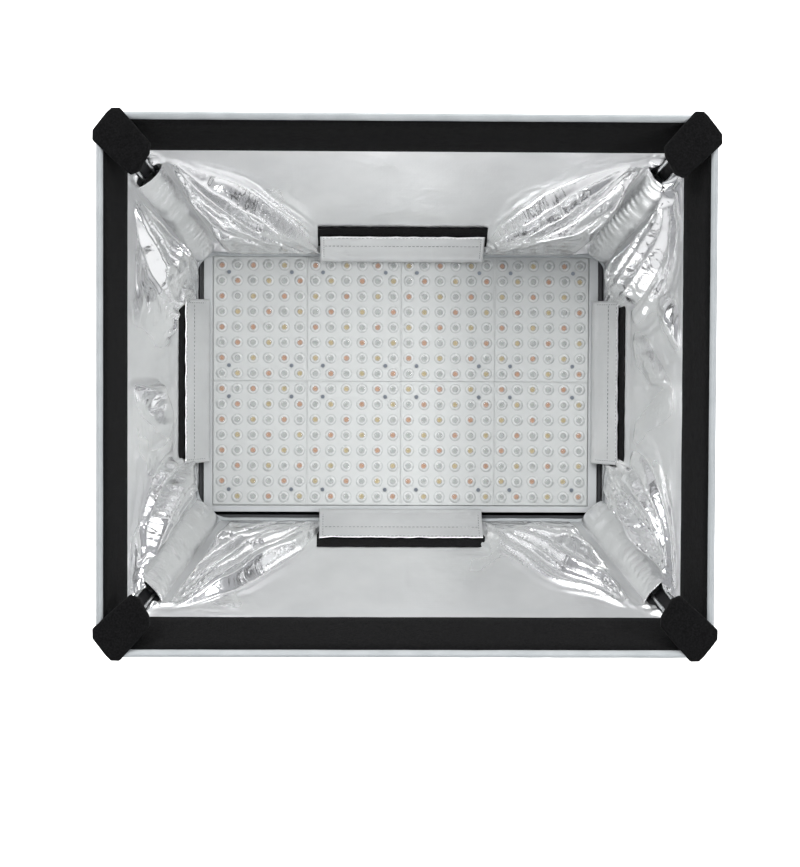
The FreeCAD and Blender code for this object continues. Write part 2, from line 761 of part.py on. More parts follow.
def make_tilt_knob(side, label):
    """A lobed hand knob with its threaded shank, which clamps the yoke arm on the trunnion."""
    body = new_body(f"{label}_body")
    disc = new_sketch(body, f"{label}_disc", "YZ_Plane")
    circle(disc, "tilt_knob_radius")
    solid = pad(body, disc, f"{label}_disc_pad", "tilt_knob_length")
    fillet(body, solid, f"{label}_rim", 2.5, lambda edge: edge.Closed)
    scallop = new_sketch(body, f"{label}_scallop", "YZ_Plane")
    circle(scallop, "scallop_radius", S["tilt_knob_radius"] + S["scallop_radius"] / 2)
    first = pocket(body, scallop, f"{label}_scallop_cut", reverse=True)
    pattern(body, f"{label}_scallops", first, "PolarPattern", "X_Axis", "lobe_count")
    shank = new_sketch(body, f"{label}_shank", "YZ_Plane")
    circle(shank, "screw_radius")
    pad(body, shank, f"{label}_shank_pad", "tilt_shank_length", reverse=True)
    start = YOKE_X + S["yoke_thickness"] + S["washer_thickness"] + 0.4
    turn = turned((0, 0, 1), 0 if side > 0 else 180)
    return keep(body, label, on_head(x=side * start, rotation=turn))


def make_receiver():
    """Socket for the stand's stud, bolted under the yoke, with a boss for the lock screw."""
    body = new_body("stand_receiver_body")
    barrel = new_sketch(body, "receiver_barrel", "XY_Plane")
    circle(barrel, "receiver_radius")
    pad(body, barrel, "receiver_barrel_pad", "receiver_length")
    flange = new_sketch(body, "receiver_flange", "XY_Plane",
                        S["receiver_length"] - S["receiver_flange_height"])
    circle(flange, "receiver_flange_radius")
    pad(body, flange, "receiver_flange_pad", "receiver_flange_height")
    boss = new_sketch(body, "receiver_boss")
    circle(boss, "lock_boss_radius", 0, S["lock_height"])
    pad(body, boss, "receiver_boss_pad", "lock_boss_end", reverse=True)
    bore = new_sketch(body, "receiver_bore", "XY_Plane")
    circle(bore, "stud_socket_radius")
    pocket(body, bore, "receiver_bore_cut", "stud_socket_depth", reverse=True)
    thread = new_sketch(body, "receiver_thread")
    circle(thread, "screw_hole_radius", 0, S["lock_height"])
    pocket(body, thread, "receiver_thread_cut", "lock_boss_end")
    shoe = new_sketch(body, "receiver_shoe_hole")
    circle(shoe, "shoe_hole_radius", 0, S["lock_height"])
    pocket(body, shoe, "receiver_shoe_cut", "14.2")
    top = new_sketch(body, "receiver_bolt_hole", "XY_Plane", S["receiver_length"])
    circle(top, "screw_hole_radius")
    pocket(body, top, "receiver_bolt_cut", "14")
    return keep(body, "stand_receiver")


def make_receiver_bolt():
    """A hexagon bolt with its washer, through the crossbar into the receiver."""
    top = CROSSBAR_TOP + 0.05
    washer = Part.makeCylinder(9.0, 1.5, FreeCAD.Vector(0, 0, top))
    corners = [
        FreeCAD.Vector(7.5 * math.cos(k * math.pi / 3), 7.5 * math.sin(k * math.pi / 3), top + 1.5)
        for k in range(7)
    ]
    head = Part.Face(Part.makePolygon(corners)).extrude(FreeCAD.Vector(0, 0, 5.3))
    shank = Part.makeCylinder(S["screw_radius"], 18.0, FreeCAD.Vector(0, 0, top - 18.0))
    item = doc.addObject("Part::Feature", "receiver_bolt_shape")
    item.Shape = washer.fuse([head, shank])
    keep(item, "receiver_bolt")


def make_lock():
    """The brass shoe that bears on the stud and the T-handled screw that pushes it."""
    body = new_body("clamp_shoe_body")
    disc = new_sketch(body, "shoe_disc")
    circle(disc, "shoe_radius")
    pad(body, disc, "shoe_pad", "shoe_length")
    keep(body, "clamp_shoe", at(0, S["shoe_start"] + S["shoe_length"], S["lock_height"]))

    screw = new_body("lock_screw_body")
    shank = new_sketch(screw, "lock_shank")
    circle(shank, "screw_radius")
    pad(screw, shank, "lock_shank_pad", "lock_shank_length", reverse=True)
    hub = new_sketch(screw, "lock_hub", "XZ_Plane", -17.0)
    circle(hub, "lock_hub_radius")
    pad(screw, hub, "lock_hub_pad", "lock_hub_length", reverse=True)
    handle = new_sketch(screw, "lock_handle", "XY_Plane")
    circle(handle, "lock_handle_radius", 0, 23.0)
    pad(screw, handle, "lock_handle_pad", "lock_handle_length", middle=True)
    keep(screw, "lock_screw", at(0, 13.8, S["lock_height"]))


# ---------------------------------------------------------------- softbox


def side_expressions(side):
    """Outward and tangential sizes of a wall: rear and front, as sheet expressions."""
    if side in VERTICAL_SIDES:
        return "rear_width", "front_width", "rear_height", "front_height"
    return "rear_height", "front_height", "rear_width", "front_width"


def wall_frame(side, lift=0.0):
    """Frame of a wall: x along its rear edge, y up the slope to the front, z into the softbox."""
    rear, front, _, _ = side_expressions(side)
    rise = (S[front] - S[rear]) / 2
    slope = math.degrees(math.atan2(rise, S["box_depth"]))
    around = turned((0, 1, 0), SIDE_TURNS[side])
    base = at(0, FRONT_Y, S["tilt_height"], around)
    leaning = at(0, 0, S[rear] / 2, turned((1, 0, 0), 180 - slope))
    return base.multiply(leaning).multiply(at(z=lift))


def strip(name, frame, low, high, low_half, high_half, thickness):
    """A flat trapezoid on a plane: its two heights there and its half widths at them."""
    body = new_body(f"{name}_body")
    outline = new_sketch(body, f"{name}_outline", "XY_Plane")
    trapezoid(outline, low, high, low_half, high_half)
    pad(body, outline, f"{name}_pad", thickness)
    body.Placement = frame
    return body


def wall_strip(name, side, start, end, lift, thickness, margin="0", half=None):
    """A flat piece on one wall, from one share of its depth to another."""
    rear, front, rear_across, front_across = side_expressions(side)
    slant = f"sqrt ( box_depth ^ 2 + ( ( {front} - {rear} ) / 2 ) ^ 2 )"
    halves = [half or f"( {rear_across} + ( {front_across} - {rear_across} ) * {share} ) / 2 - {margin}"
              for share in (start, end)]
    heights = [f"{slant} * {share}" for share in (start, end)]
    return strip(name, wall_frame(side, lift), *heights, *halves, thickness)


def low_plane():
    """Slope and length of the top lining's rear part, which hangs clear of the outer fabric."""
    share = S["low_lining_end"]
    wall_height = (S["rear_height"] + (S["front_height"] - S["rear_height"]) * share) / 2
    run = S["box_depth"] * share - S["low_lining_start"]
    rise = wall_height - S["low_lining_half"]
    return math.atan2(rise, run), math.hypot(rise, run)


def low_frame(lift=0.0):
    """Frame of that part at its rear edge: y up the slope to the front, z into the softbox."""
    slope, _ = low_plane()
    lean = turned((1, 0, 0), 180 - math.degrees(slope))
    rear_edge = on_head(0, FRONT_Y - S["low_lining_start"], S["low_lining_half"], lean)
    return rear_edge.multiply(at(z=lift))


def make_top_lining():
    """The top lining: a low rear part over the panel's edge, and a front part on the wall."""
    _, reach = low_plane()
    rear = strip("lining_top_rear", low_frame(), "0", f"{reach - 0.3}",
                 "low_lining_rear_half", "low_lining_front_half", "lining_thickness")
    front = wall_strip("lining_top_front", "top", "low_lining_end", "wall_end", 0.0,
                       "lining_thickness", margin="1.5")
    group("lining_wall_top", [rear.Shape.copy(), front.Shape.copy()])


def make_flap_loop_strips(lift):
    """Strips of loop on the lining that the flaps' hook strips press on to."""
    half = "flap_width / 2 + 2"
    strips = [
        wall_strip(f"strip_{side}", side, "strip_start", "strip_end", lift, "tape_thickness", half=half)
        for side in SIDE_TURNS if side != "top"
    ]
    slope, _ = low_plane()
    heights = [f"( box_depth * {share} - low_lining_start ) / {math.cos(slope)}"
               for share in ("strip_start", "strip_end")]
    strips.append(strip("strip_top", low_frame(lift), *heights, half, half, "tape_thickness"))
    group("flap_loop_strips", [body.Shape.copy() for body in strips])


def make_walls():
    """Outer fabric, silver lining and loop tape of the four walls."""
    tape_lift = S["lining_thickness"] + S["seam_gap"]
    shell_lift = -S["shell_thickness"] - S["seam_gap"]
    tapes = []
    for side in SIDE_TURNS:
        shell = wall_strip(f"shell_{side}", side, "0", "wall_end", shell_lift, "shell_thickness", "1")
        keep(shell, f"shell_wall_{side}")
        if side != "top":
            lining = wall_strip(f"lining_{side}", side, "0", "wall_end", 0.0, "lining_thickness", "1.5")
            keep(lining, f"lining_wall_{side}")
        tapes.append(wall_strip(f"tape_{side}", side, "tape_start", "tape_end", tape_lift,
                                "tape_thickness", "3.4"))
    make_top_lining()
    group("loop_tapes", [body.Shape.copy() for body in tapes])
    make_flap_loop_strips(tape_lift)


def chamfered_outline(half_x, half_z, cut, y):
    """A rectangle with its corners cut off, as a closed wire in a plane of constant y."""
    points = []
    for sx, sz in ((1, 1), (-1, 1), (-1, -1), (1, -1)):
        first = (sx * half_x, sz * (half_z - cut))
        second = (sx * (half_x - cut), sz * half_z)
        points += [first, second] if sx * sz > 0 else [second, first]
    points.append(points[0])
    return Part.makePolygon([FreeCAD.Vector(x, y, z) for x, z in points])


def make_front_hem():
    """Binding round the front edge, following the slope of the walls."""
    start = S["box_depth"] * S["wall_end"] + 0.6
    end = start + S["hem_depth"]
    outlines = []
    for depth in (start, end):
        share = depth / S["box_depth"]
        half_x = (S["rear_width"] + (S["front_width"] - S["rear_width"]) * share) / 2
        half_z = (S["rear_height"] + (S["front_height"] - S["rear_height"]) * share) / 2
        y = FRONT_Y - depth
        for offset in (S["hem_thickness"] / 2, -S["hem_thickness"] / 2):
            wire = chamfered_outline(half_x + offset, half_z + offset, S["hem_chamfer"], y)
            outlines.append(wire)
    outside = Part.makeLoft([outlines[0], outlines[2]], True, True)
    inside = Part.makeLoft([outlines[1], outlines[3]], True, True)
    item = doc.addObject("Part::Feature", "front_hem_shape")
    item.Shape = outside.cut(inside)
    keep(item, "front_hem", on_head())
    return end


def make_corner_pockets(front):
    """Folded fabric pockets over the front corners that take the struts' ends."""
    y = FRONT_Y - front - 0.3
    half_x = S["front_width"] / 2 + S["hem_thickness"] / 2 + S["pocket_overhang"]
    half_z = S["front_height"] / 2 + S["hem_thickness"] / 2 + S["pocket_overhang"]
    cut = S["hem_chamfer"]
    reach = S["pocket_reach"]
    band = S["pocket_band"]
    pockets = []
    for sx, sz in CORNERS:
        offsets = [(cut, 0), (band, 0), (reach / 2 + 8, reach / 2 - 8), (reach / 2 - 8, reach / 2 + 8),
                   (0, band), (0, cut)]
        points = [FreeCAD.Vector(sx * (half_x - a), y, sz * (half_z - b)) for a, b in offsets]
        face = Part.Face(Part.makePolygon(points + points[:1]))
        pockets.append(face.extrude(FreeCAD.Vector(0, -S["pocket_thickness"], 0)))
    group("corner_pockets", pockets, on_head())


def corner_frame(sx, sz, inset, depth):
    """Frame on a corner edge: y runs forward along the edge, z points into the softbox."""
    run_x = (S["front_width"] - S["rear_width"]) / 2 / S["box_depth"]
    run_z = (S["front_height"] - S["rear_height"]) / 2 / S["box_depth"]
    forward = FreeCAD.Vector(sx * run_x, -1, sz * run_z).normalize()
    across = FreeCAD.Vector(sx, 0, -sz).normalize()
    across = (across - forward * across.dot(forward)).normalize()
    inward = across.cross(forward)
    if inward.dot(FreeCAD.Vector(-sx, 0, -sz)) < 0:
        across = across * -1
        inward = inward * -1
    start = FreeCAD.Vector(
        sx * (S["rear_width"] / 2 + run_x * depth - inset),
        FRONT_Y - depth,
        sz * (S["rear_height"] / 2 + run_z * depth - inset) + S["tilt_height"],
    )
    return FreeCAD.Placement(start, FreeCAD.Rotation(across, forward, inward, "YXZ"))


def edge_length(depth):
    """Length along a corner edge for a depth measured along Y."""
    run_x = (S["front_width"] - S["rear_width"]) / 2 / S["box_depth"]
    run_z = (S["front_height"] - S["rear_height"]) / 2 / S["box_depth"]
    return depth * math.sqrt(1 + run_x**2 + run_z**2)


def hairpin():
    """Spring wire bent double: two legs along y and a half turn at the far end."""
    radius = S["strut_half_gap"]
    reach = edge_length(S["strut_end"] - S["strut_start"]) - radius
    right = FreeCAD.Vector(radius, 0, 0)
    far_right = FreeCAD.Vector(radius, reach, 0)
    far_left = FreeCAD.Vector(-radius, reach, 0)
    crown = FreeCAD.Vector(0, reach + radius, 0)
    path = Part.Wire([
        Part.makeLine(right, far_right),
        Part.Arc(far_right, crown, far_left).toShape(),
        Part.makeLine(far_left, FreeCAD.Vector(-radius, 0, 0)),
    ])
    profile = Part.Wire(Part.makeCircle(S["strut_wire_radius"], right, FreeCAD.Vector(0, 1, 0)))
    return path.makePipeShell([profile], True, True)


def make_struts():
    wire = hairpin()
    wires = []
    sleeves = []
    feet = []
    long = edge_length(S["sleeve_end"] - S["sleeve_start"])
    half = S["sleeve_width"] / 2
    foot_corner = FreeCAD.Vector(-S["foot_width"] / 2, -S["foot_length"] - 0.1, -S["foot_thickness"] / 2)
    for sx, sz in CORNERS:
        wires.append(moved(wire, corner_frame(sx, sz, S["strut_inset"], S["strut_start"])))
        strip = Part.makeBox(2 * half, long, S["sleeve_thickness"], FreeCAD.Vector(-half, 0, 0))
        sleeves.append(moved(strip, corner_frame(sx, sz, S["sleeve_inset"], S["sleeve_start"])))
        foot = Part.makeBox(S["foot_width"], S["foot_length"], S["foot_thickness"], foot_corner)
        feet.append(moved(foot, corner_frame(sx, sz, S["strut_inset"], S["strut_start"])))
    group("corner_struts", wires)
    group("strut_sleeves", sleeves)
    group("strut_feet", feet)


def make_rear_skirt():
    """Elastic band that grips the housing behind the softbox's rear edge."""
    inner_w = S["housing_width"] + 0.6
    inner_h = S["housing_height"] + 0.6
    thick = S["skirt_thickness"]
    axis = FreeCAD.Vector(0, S["skirt_length"], 0)
    wires = [
        chamfered_outline(inner_w / 2 + grow, inner_h / 2 + grow, 3.0, FRONT_Y + 0.6)
        for grow in (thick, 0)
    ]
    band = Part.Face(wires[0]).cut(Part.Face(wires[1])).extrude(axis)
    item = doc.addObject("Part::Feature", "rear_skirt_shape")
    item.Shape = band
    keep(item, "rear_skirt", on_head())


FOLDS = {"top": "fold_top", "right": "fold_side", "bottom": "fold_bottom", "left": "fold_side"}


def flap_ground(side):
    """Slope of the lining under a flap, and its half size carried back to the panel's face."""
    if side == "top":
        slope, _ = low_plane()
        return slope, S["low_lining_half"] - S["low_lining_start"] * math.tan(slope)
    rear, front, _, _ = side_expressions(side)
    return math.atan2((S[front] - S[rear]) / 2, S["box_depth"]), S[rear] / 2


def flap_frame(side):
    """Frame of a flap at its fold: x along the fold, y towards the free edge, z into the softbox."""
    fold = S[FOLDS[side]]
    slope, half = flap_ground(side)
    lift = S["lining_thickness"] + S["seam_gap"] + S["tape_thickness"] + S["flap_gap"]
    room = half - fold - lift / math.cos(slope)
    angle = slope
    for _ in range(30):
        reach = S["flap_length"] * math.cos(angle) + S["flap_lift"]
        angle = math.asin((room + math.tan(slope) * reach) / S["flap_length"])
    around = turned((0, 1, 0), SIDE_TURNS[side])
    base = at(0, FRONT_Y, S["tilt_height"], around)
    lean = turned((1, 0, 0), 180 - math.degrees(angle))
    return base.multiply(at(0, -S["flap_lift"], fold, lean))


def make_flap_root(side):
    """The cloth between the softbox's rear edge and a flap's fold, flat against the panel's face."""
    fold = S[FOLDS[side]]
    end = S["low_lining_half"] - 1.0 if side == "top" else flap_ground(side)[1] - 2.0
    half = S["flap_width"] / 2
    root = Part.makeBox(2 * half, 0.9, end - fold - 0.8, FreeCAD.Vector(-half, -3.7, fold + 0.8))
    around = turned((0, 1, 0), SIDE_TURNS[side])
    return moved(root, at(0, FRONT_Y, S["tilt_height"], around))


def make_flaps():
    """Flaps folded back over the panel's edge, and the hook strips under them."""
    hook_end = "flap_length - 5"
    hook_half = "flap_width / 2 - 3"
    for side in SIDE_TURNS:
        frame = flap_frame(side)
        flap = strip(f"flap_{side}", frame, "0.4", "flap_length", "flap_width / 2", "flap_width / 2",
                     "flap_thickness")
        keep(flap, f"mount_flap_{side}")
        under = frame.multiply(at(z=-S["hook_thickness"] - 0.05))
        hook = strip(f"hook_{side}", under, f"{hook_end} - hook_width", hook_end, hook_half, hook_half,
                     "hook_thickness")
        keep(hook, f"hook_strip_{side}")
    group("flap_roots", [make_flap_root(side) for side in SIDE_TURNS])


# ---------------------------------------------------------------- build


def build():
    make_housing_frame()
    make_rear_cover()
    make_bezel()
    make_led_board()
    make_leds()
    make_lenses()
    make_heat_sink()
    make_driver()
    make_fan()
    make_control_panel()
    make_case_screws()
    make_trunnions()
    make_yoke()
    knob_washer_x = YOKE_X + S["yoke_thickness"] + 0.1
    friction_washer_x = YOKE_X - S["washer_thickness"] - 0.15
    washers("friction_washers", friction_washer_x, S["friction_washer_radius"])
    washers("knob_washers", knob_washer_x, S["knob_washer_radius"])
    make_tilt_knob(-1, "tilt_knob_left")
    make_tilt_knob(1, "tilt_knob_right")
    make_receiver()
    make_receiver_bolt()
    make_lock()
    make_walls()
    make_corner_pockets(make_front_hem())
    make_struts()
    make_rear_skirt()
    make_flaps()
    doc.recompute()


def check_and_export():
    for item in doc.Objects:
        bad = [state for state in item.State if state in ("Invalid", "Error")]
        if bad:
            raise RuntimeError(f"{item.Name} {item.Label} is {bad}")
    os.makedirs("parts", exist_ok=True)
    for item in nodes:
        shape = item.Shape
        if shape.isNull() or not shape.isValid() or not shape.Solids:
            raise RuntimeError(f"{item.Label} has no valid solid")
        shape.exportStep(f"parts/{item.Label}.step")
        box = shape.BoundBox
        print(
            f"{item.Label:22s} solids {len(shape.Solids):3d}  volume {shape.Volume:11.1f}"
            f"  x {box.XMin:7.1f} {box.XMax:7.1f}  y {box.YMin:7.1f} {box.YMax:6.1f}"
            f"  z {box.ZMin:6.1f} {box.ZMax:6.1f}"
        )


build()
check_and_export()
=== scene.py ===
"""Looks of a rectangular softbox on its LED panel head.

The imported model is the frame: every place here is worked out from its nodes. Lengths are in metres.
The softbox is a frustum. A place on it is given by its share, from 0 at the rear edge by the panel
to 1 at the front edge, and its lift, the distance inward from the frustum's surface.
"""
import json
import math

import bmesh
import bpy
import numpy as np
from mathutils import Matrix, Vector, noise


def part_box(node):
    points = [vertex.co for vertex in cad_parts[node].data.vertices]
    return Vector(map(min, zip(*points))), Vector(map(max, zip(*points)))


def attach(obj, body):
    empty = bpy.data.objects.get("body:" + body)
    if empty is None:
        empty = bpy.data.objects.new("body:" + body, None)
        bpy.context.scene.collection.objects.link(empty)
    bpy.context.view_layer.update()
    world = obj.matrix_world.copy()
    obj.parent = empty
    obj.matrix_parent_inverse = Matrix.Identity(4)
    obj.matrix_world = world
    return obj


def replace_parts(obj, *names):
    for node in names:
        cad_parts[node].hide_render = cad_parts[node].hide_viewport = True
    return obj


MM = 0.001
SIDES = ("top", "right", "bottom", "left")

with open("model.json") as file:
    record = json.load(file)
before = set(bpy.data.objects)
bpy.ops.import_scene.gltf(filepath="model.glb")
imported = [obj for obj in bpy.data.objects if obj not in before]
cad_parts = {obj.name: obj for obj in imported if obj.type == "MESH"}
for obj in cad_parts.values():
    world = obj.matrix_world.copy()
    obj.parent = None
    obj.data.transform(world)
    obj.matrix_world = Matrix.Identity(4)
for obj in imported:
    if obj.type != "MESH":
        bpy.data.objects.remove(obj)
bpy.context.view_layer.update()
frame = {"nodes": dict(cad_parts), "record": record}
joints = {j["name"]: j for j in frame["record"]["behaviour"]["joints"]}
AXIS_Z = joints["head_tilt"]["pos_m"][2]

# The frustum, from the lining's and the hem's places: half width and half height at its two edges.
lining_low, lining_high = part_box("lining_wall_right")
lining_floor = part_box("lining_wall_bottom")[1][2]
hem_low, hem_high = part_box("front_hem")
HEM = 2.0 * MM  # thickness of the hem
LINING = (0.8 * MM, 0.7 * MM)  # thickness of the side lining and of the bottom lining
REAR = np.array([lining_low[0] + LINING[0], AXIS_Z - lining_floor + LINING[1]])
REAR_Y = lining_high[1]
FRONT = np.array([hem_high[0] - HEM, (hem_high[2] - hem_low[2]) / 2 - HEM])
FRONT_Y = hem_low[1]
DEPTH = REAR_Y - FRONT_Y
SLOPE = np.arctan((FRONT - REAR) / DEPTH)
# The top lining hangs low: its rear height over AXIS_Z, and the share where it meets the wall.
TOP_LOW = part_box("lining_wall_top")[0][2] - AXIS_Z
MEET = 0.75


# ---------------- materials


class Paint:
    """A node material round one Principled shader, with short calls for its textures."""

    def __init__(self, name, color, roughness, metallic=0.0, **sockets):
        self.material = bpy.data.materials.new(name)
        self.material.use_nodes = True
        self.tree = self.material.node_tree
        self.shader = self.tree.nodes["Principled BSDF"]
        self.coordinates = self.tree.nodes.new("ShaderNodeTexCoord").outputs["Object"]
        self.set("Base Color", (*color, 1.0))
        self.set("Roughness", roughness)
        self.set("Metallic", metallic)
        for socket, value in sockets.items():
            self.set(socket.replace("_", " "), value)
        self.height = None

    def set(self, socket, value):
        self.shader.inputs[socket].default_value = value

    def node(self, kind, **settings):
        made = self.tree.nodes.new(kind)
        for key, value in settings.items():
            if key in made.inputs:
                made.inputs[key].default_value = value
            else:
                setattr(made, key, value)
        return made

    def link(self, output, target):
        self.tree.links.new(output, target)

    def stretched(self, scale):
        mapping = self.node("ShaderNodeMapping")
        mapping.inputs["Scale"].default_value = scale
        self.link(self.coordinates, mapping.inputs["Vector"])
        return mapping.outputs["Vector"]

    def noise(self, scale, detail=3.0, distortion=0.0, stretch=None):
        texture = self.node("ShaderNodeTexNoise", Scale=scale, Detail=detail, Distortion=distortion)
        source = self.stretched(stretch) if stretch else self.coordinates
        self.link(source, texture.inputs["Vector"])
        return texture.outputs["Fac"]

    def voronoi(self, scale, feature="F1"):
        texture = self.node("ShaderNodeTexVoronoi", feature=feature, Scale=scale)
        self.link(self.coordinates, texture.inputs["Vector"])
        return texture.outputs["Distance"]

    def wave(self, scale, direction):
        texture = self.node("ShaderNodeTexWave", Scale=scale, Distortion=0.0)
        texture.bands_direction = direction
        self.link(self.coordinates, texture.inputs["Vector"])
        return texture.outputs["Fac"]

    def math(self, operation, first, second):
        node = self.node("ShaderNodeMath", operation=operation)
        for socket, value in zip(node.inputs, (first, second)):
            if isinstance(value, (int, float)):
                socket.default_value = value
            else:
                self.link(value, socket)
        return node.outputs["Value"]

    def attribute(self, name):
        return self.node("ShaderNodeAttribute", attribute_name=name).outputs["Fac"]

    def ramp(self, factor, socket, stops):
        """Drive a shader socket by a factor, through (position, colour) stops."""
        ramp = self.node("ShaderNodeValToRGB")
        while len(ramp.color_ramp.elements) < len(stops):
            ramp.color_ramp.elements.new(0.5)
        for element, (position, color) in zip(ramp.color_ramp.elements, stops):
            element.position = position
            element.color = (*color, 1.0)
        self.link(factor, ramp.inputs["Fac"])
        self.link(ramp.outputs["Color"], self.shader.inputs[socket])

    def colors(self, factor, *stops):
        self.ramp(factor, "Base Color", stops)

    def roughness(self, factor, low, high):
        spread = self.node("ShaderNodeMapRange")
        spread.inputs["To Min"].default_value = low
        spread.inputs["To Max"].default_value = high
        self.link(factor, spread.inputs["Value"])
        self.link(spread.outputs["Result"], self.shader.inputs["Roughness"])

    def bump(self, height, distance, strength=1.0):
        """Add relief of a given depth in metres; calls stack."""
        node = self.node("ShaderNodeBump", Distance=distance)
        if isinstance(strength, (int, float)):
            node.inputs["Strength"].default_value = strength
        else:
            self.link(strength, node.inputs["Strength"])
        self.link(height, node.inputs["Height"])
        if self.height is not None:
            self.link(self.height, node.inputs["Normal"])
        self.height = node.outputs["Normal"]
        self.link(self.height, self.shader.inputs["Normal"])

    def rounded_edges(self, radius):
        bevel = self.node("ShaderNodeBevel", samples=4)
        bevel.inputs["Radius"].default_value = radius
        self.height = bevel.outputs["Normal"]
        self.link(self.height, self.shader.inputs["Normal"])


def weave(paint, thread, depth, strength=1.0):
    """Relief of a plain weave of a thread's width, in two crossing directions on any wall."""
    wave_periods = 20  # periods of a wave texture of scale 1 in a metre
    scale = 1 / (thread * wave_periods)
    across = paint.math("MULTIPLY", paint.wave(scale, "X"), paint.wave(scale, "Z"))
    along = paint.wave(scale, "Y")
    paint.bump(paint.math("MAXIMUM", across, along), depth, strength)


def silver_cloth(name, crinkle=1.0):
    """Metallised cloth: satin where it is taut, brighter and sharper where it is crumpled."""
    paint = Paint(name, (0.86, 0.86, 0.86), 0.35, metallic=0.9)
    paint.colors(paint.noise(18, 4), (0.3, (0.80, 0.805, 0.81)), (0.7, (0.91, 0.912, 0.915)))
    crumple = paint.attribute("crumple")
    mottle = paint.math("MULTIPLY", paint.noise(55, 3), 0.12)
    taut = paint.math("SUBTRACT", 1.0, crumple)
    paint.roughness(paint.math("ADD", mottle, paint.math("MULTIPLY", taut, 0.6)), 0.12, 0.52)
    deep = paint.math("POWER", crumple, 3.0)
    paint.bump(paint.noise(30, 2, 0.8), 1.1 * MM * crinkle, deep)
    creases = paint.voronoi(60, "DISTANCE_TO_EDGE")
    paint.bump(paint.math("MINIMUM", creases, 0.10), 1.1 * MM * crinkle, deep)
    paint.bump(paint.noise(120, 3, 0.5), 0.16 * MM * crinkle)
    weave(paint, 0.45 * MM, 0.03 * MM)
    return paint.material


def pile_cloth():
    paint = Paint("loop_pile", (0.008, 0.008, 0.009), 0.95, Sheen_Weight=0.03,
                  Sheen_Roughness=0.6, Specular_IOR_Level=0.08)
    paint.colors(paint.noise(700, 5), (0.35, (0.002, 0.002, 0.0022)),
                 (0.75, (0.009, 0.009, 0.0095)))
    paint.bump(paint.noise(900, 6, 1.5), 0.5 * MM)
    paint.bump(paint.noise(160, 3), 0.5 * MM)
    return paint.material


def hem_cloth():
    paint = Paint("hem_binding", (0.44, 0.46, 0.47), 0.62, Sheen_Weight=0.1)
    paint.colors(paint.noise(60, 4), (0.3, (0.41, 0.435, 0.445)), (0.7, (0.48, 0.505, 0.515)))
    weave(paint, 0.5 * MM, 0.10 * MM)
    paint.bump(paint.noise(90, 3), 0.3 * MM)
    return paint.material


def black_nylon():
    paint = Paint("black_nylon", (0.012, 0.012, 0.013), 0.6, Sheen_Weight=0.05,
                  Specular_IOR_Level=0.3)
    paint.colors(paint.noise(14, 5), (0.3, (0.008, 0.008, 0.009)), (0.75, (0.017, 0.017, 0.019)))
    paint.roughness(paint.noise(70, 3), 0.45, 0.68)
    paint.bump(paint.noise(20, 3, 0.8), 1.2 * MM, 0.7)
    weave(paint, 0.5 * MM, 0.03 * MM)
    return paint.material


def elastic_band():
    paint = Paint("elastic_band", (0.02, 0.02, 0.021), 0.8, Sheen_Weight=0.2)
    paint.bump(paint.wave(60, "Y"), 0.5 * MM)
    paint.bump(paint.noise(350, 4), 0.2 * MM)
    return paint.material


def thread(name, color):
    paint = Paint(name, color, 0.6, Sheen_Weight=0.3)
    paint.bump(paint.noise(2500, 2), 0.05 * MM)
    return paint.material


def painted_metal(name, color):
    paint = Paint(name, color, 0.42)
    paint.rounded_edges(0.6 * MM)
    bright = tuple(min(1, c * 1.35 + 0.004) for c in color)
    paint.colors(paint.noise(9, 4), (0.35, color), (0.8, bright))
    paint.roughness(paint.noise(40, 4), 0.36, 0.52)
    paint.bump(paint.noise(1400, 2), 0.05 * MM)
    return paint.material


def moulded_plastic(name, color, roughness=0.5, grain=0.04, edge=0.4):
    paint = Paint(name, color, roughness)
    paint.rounded_edges(edge * MM)
    darker = tuple(c * 0.9 for c in color)
    paint.colors(paint.noise(25, 3), (0.3, darker), (0.7, color))
    paint.roughness(paint.noise(120, 3), roughness - 0.06, roughness + 0.08)
    paint.bump(paint.noise(2200, 2), grain * MM)
    return paint.material


def metal(name, color, roughness, brushed=(1, 1, 1)):
    """Bare metal; brushed is the grain's relative fineness along each axis."""
    paint = Paint(name, color, roughness, metallic=1.0)
    paint.rounded_edges(0.25 * MM)
    finest = 600
    grain = paint.noise(1.0, 3, 0.0, tuple(finest * b for b in brushed))
    paint.roughness(grain, roughness - 0.06, roughness + 0.12)
    paint.bump(grain, 0.02 * MM)
    return paint.material


def clear_acrylic(pitch, first):
    """Clear plates of domed lenses, by the LEDs' pitch and the first one's place.

    They are see-through over each LED and hazy round it, where a paler ring is a painted highlight,
    and darker at each dome's rim, which is painted shade."""
    paint = Paint("clear_acrylic", (0.86, 0.89, 0.885), 0.06, IOR=1.49)
    axes = paint.node("ShaderNodeSeparateXYZ")
    paint.link(paint.coordinates, axes.inputs["Vector"])
    offsets = []
    for axis, step, start in zip("XZ", pitch, first):
        shifted = paint.math("SUBTRACT", axes.outputs[axis], start - step / 2)
        cell = paint.math("FRACT", paint.math("DIVIDE", shifted, step), 0.0)
        inside = paint.math("SUBTRACT", cell, 0.5)
        offsets.append(paint.math("MULTIPLY", inside, step / MM))
    squares = [paint.math("MULTIPLY", offset, offset) for offset in offsets]
    radius = paint.math("SQRT", paint.math("ADD", *squares), 0.0)
    centimetres = paint.math("DIVIDE", radius, 10.0)
    # Colour by distance from each lens centre: a painted highlight ring round the LED and a painted
    # shade ring at the dome's rim, standing in for the light and shade of the domes.
    paint.colors(centimetres, (0.20, (0.90, 0.92, 0.91)), (0.32, (0.97, 0.98, 0.975)),
                 (0.42, (0.86, 0.88, 0.87)), (0.47, (0.76, 0.79, 0.785)), (0.50, (0.85, 0.87, 0.86)))
    haze = ((0.14, 0.12), (0.22, 0.28), (0.29, 0.58), (0.45, 0.55), (0.52, 0.66))
    paint.ramp(centimetres, "Alpha", [(position, (value,) * 3) for position, value in haze])
    paint.roughness(paint.noise(300, 3), 0.03, 0.10)
    paint.bump(paint.noise(900, 2), 0.01 * MM)
    return paint.material


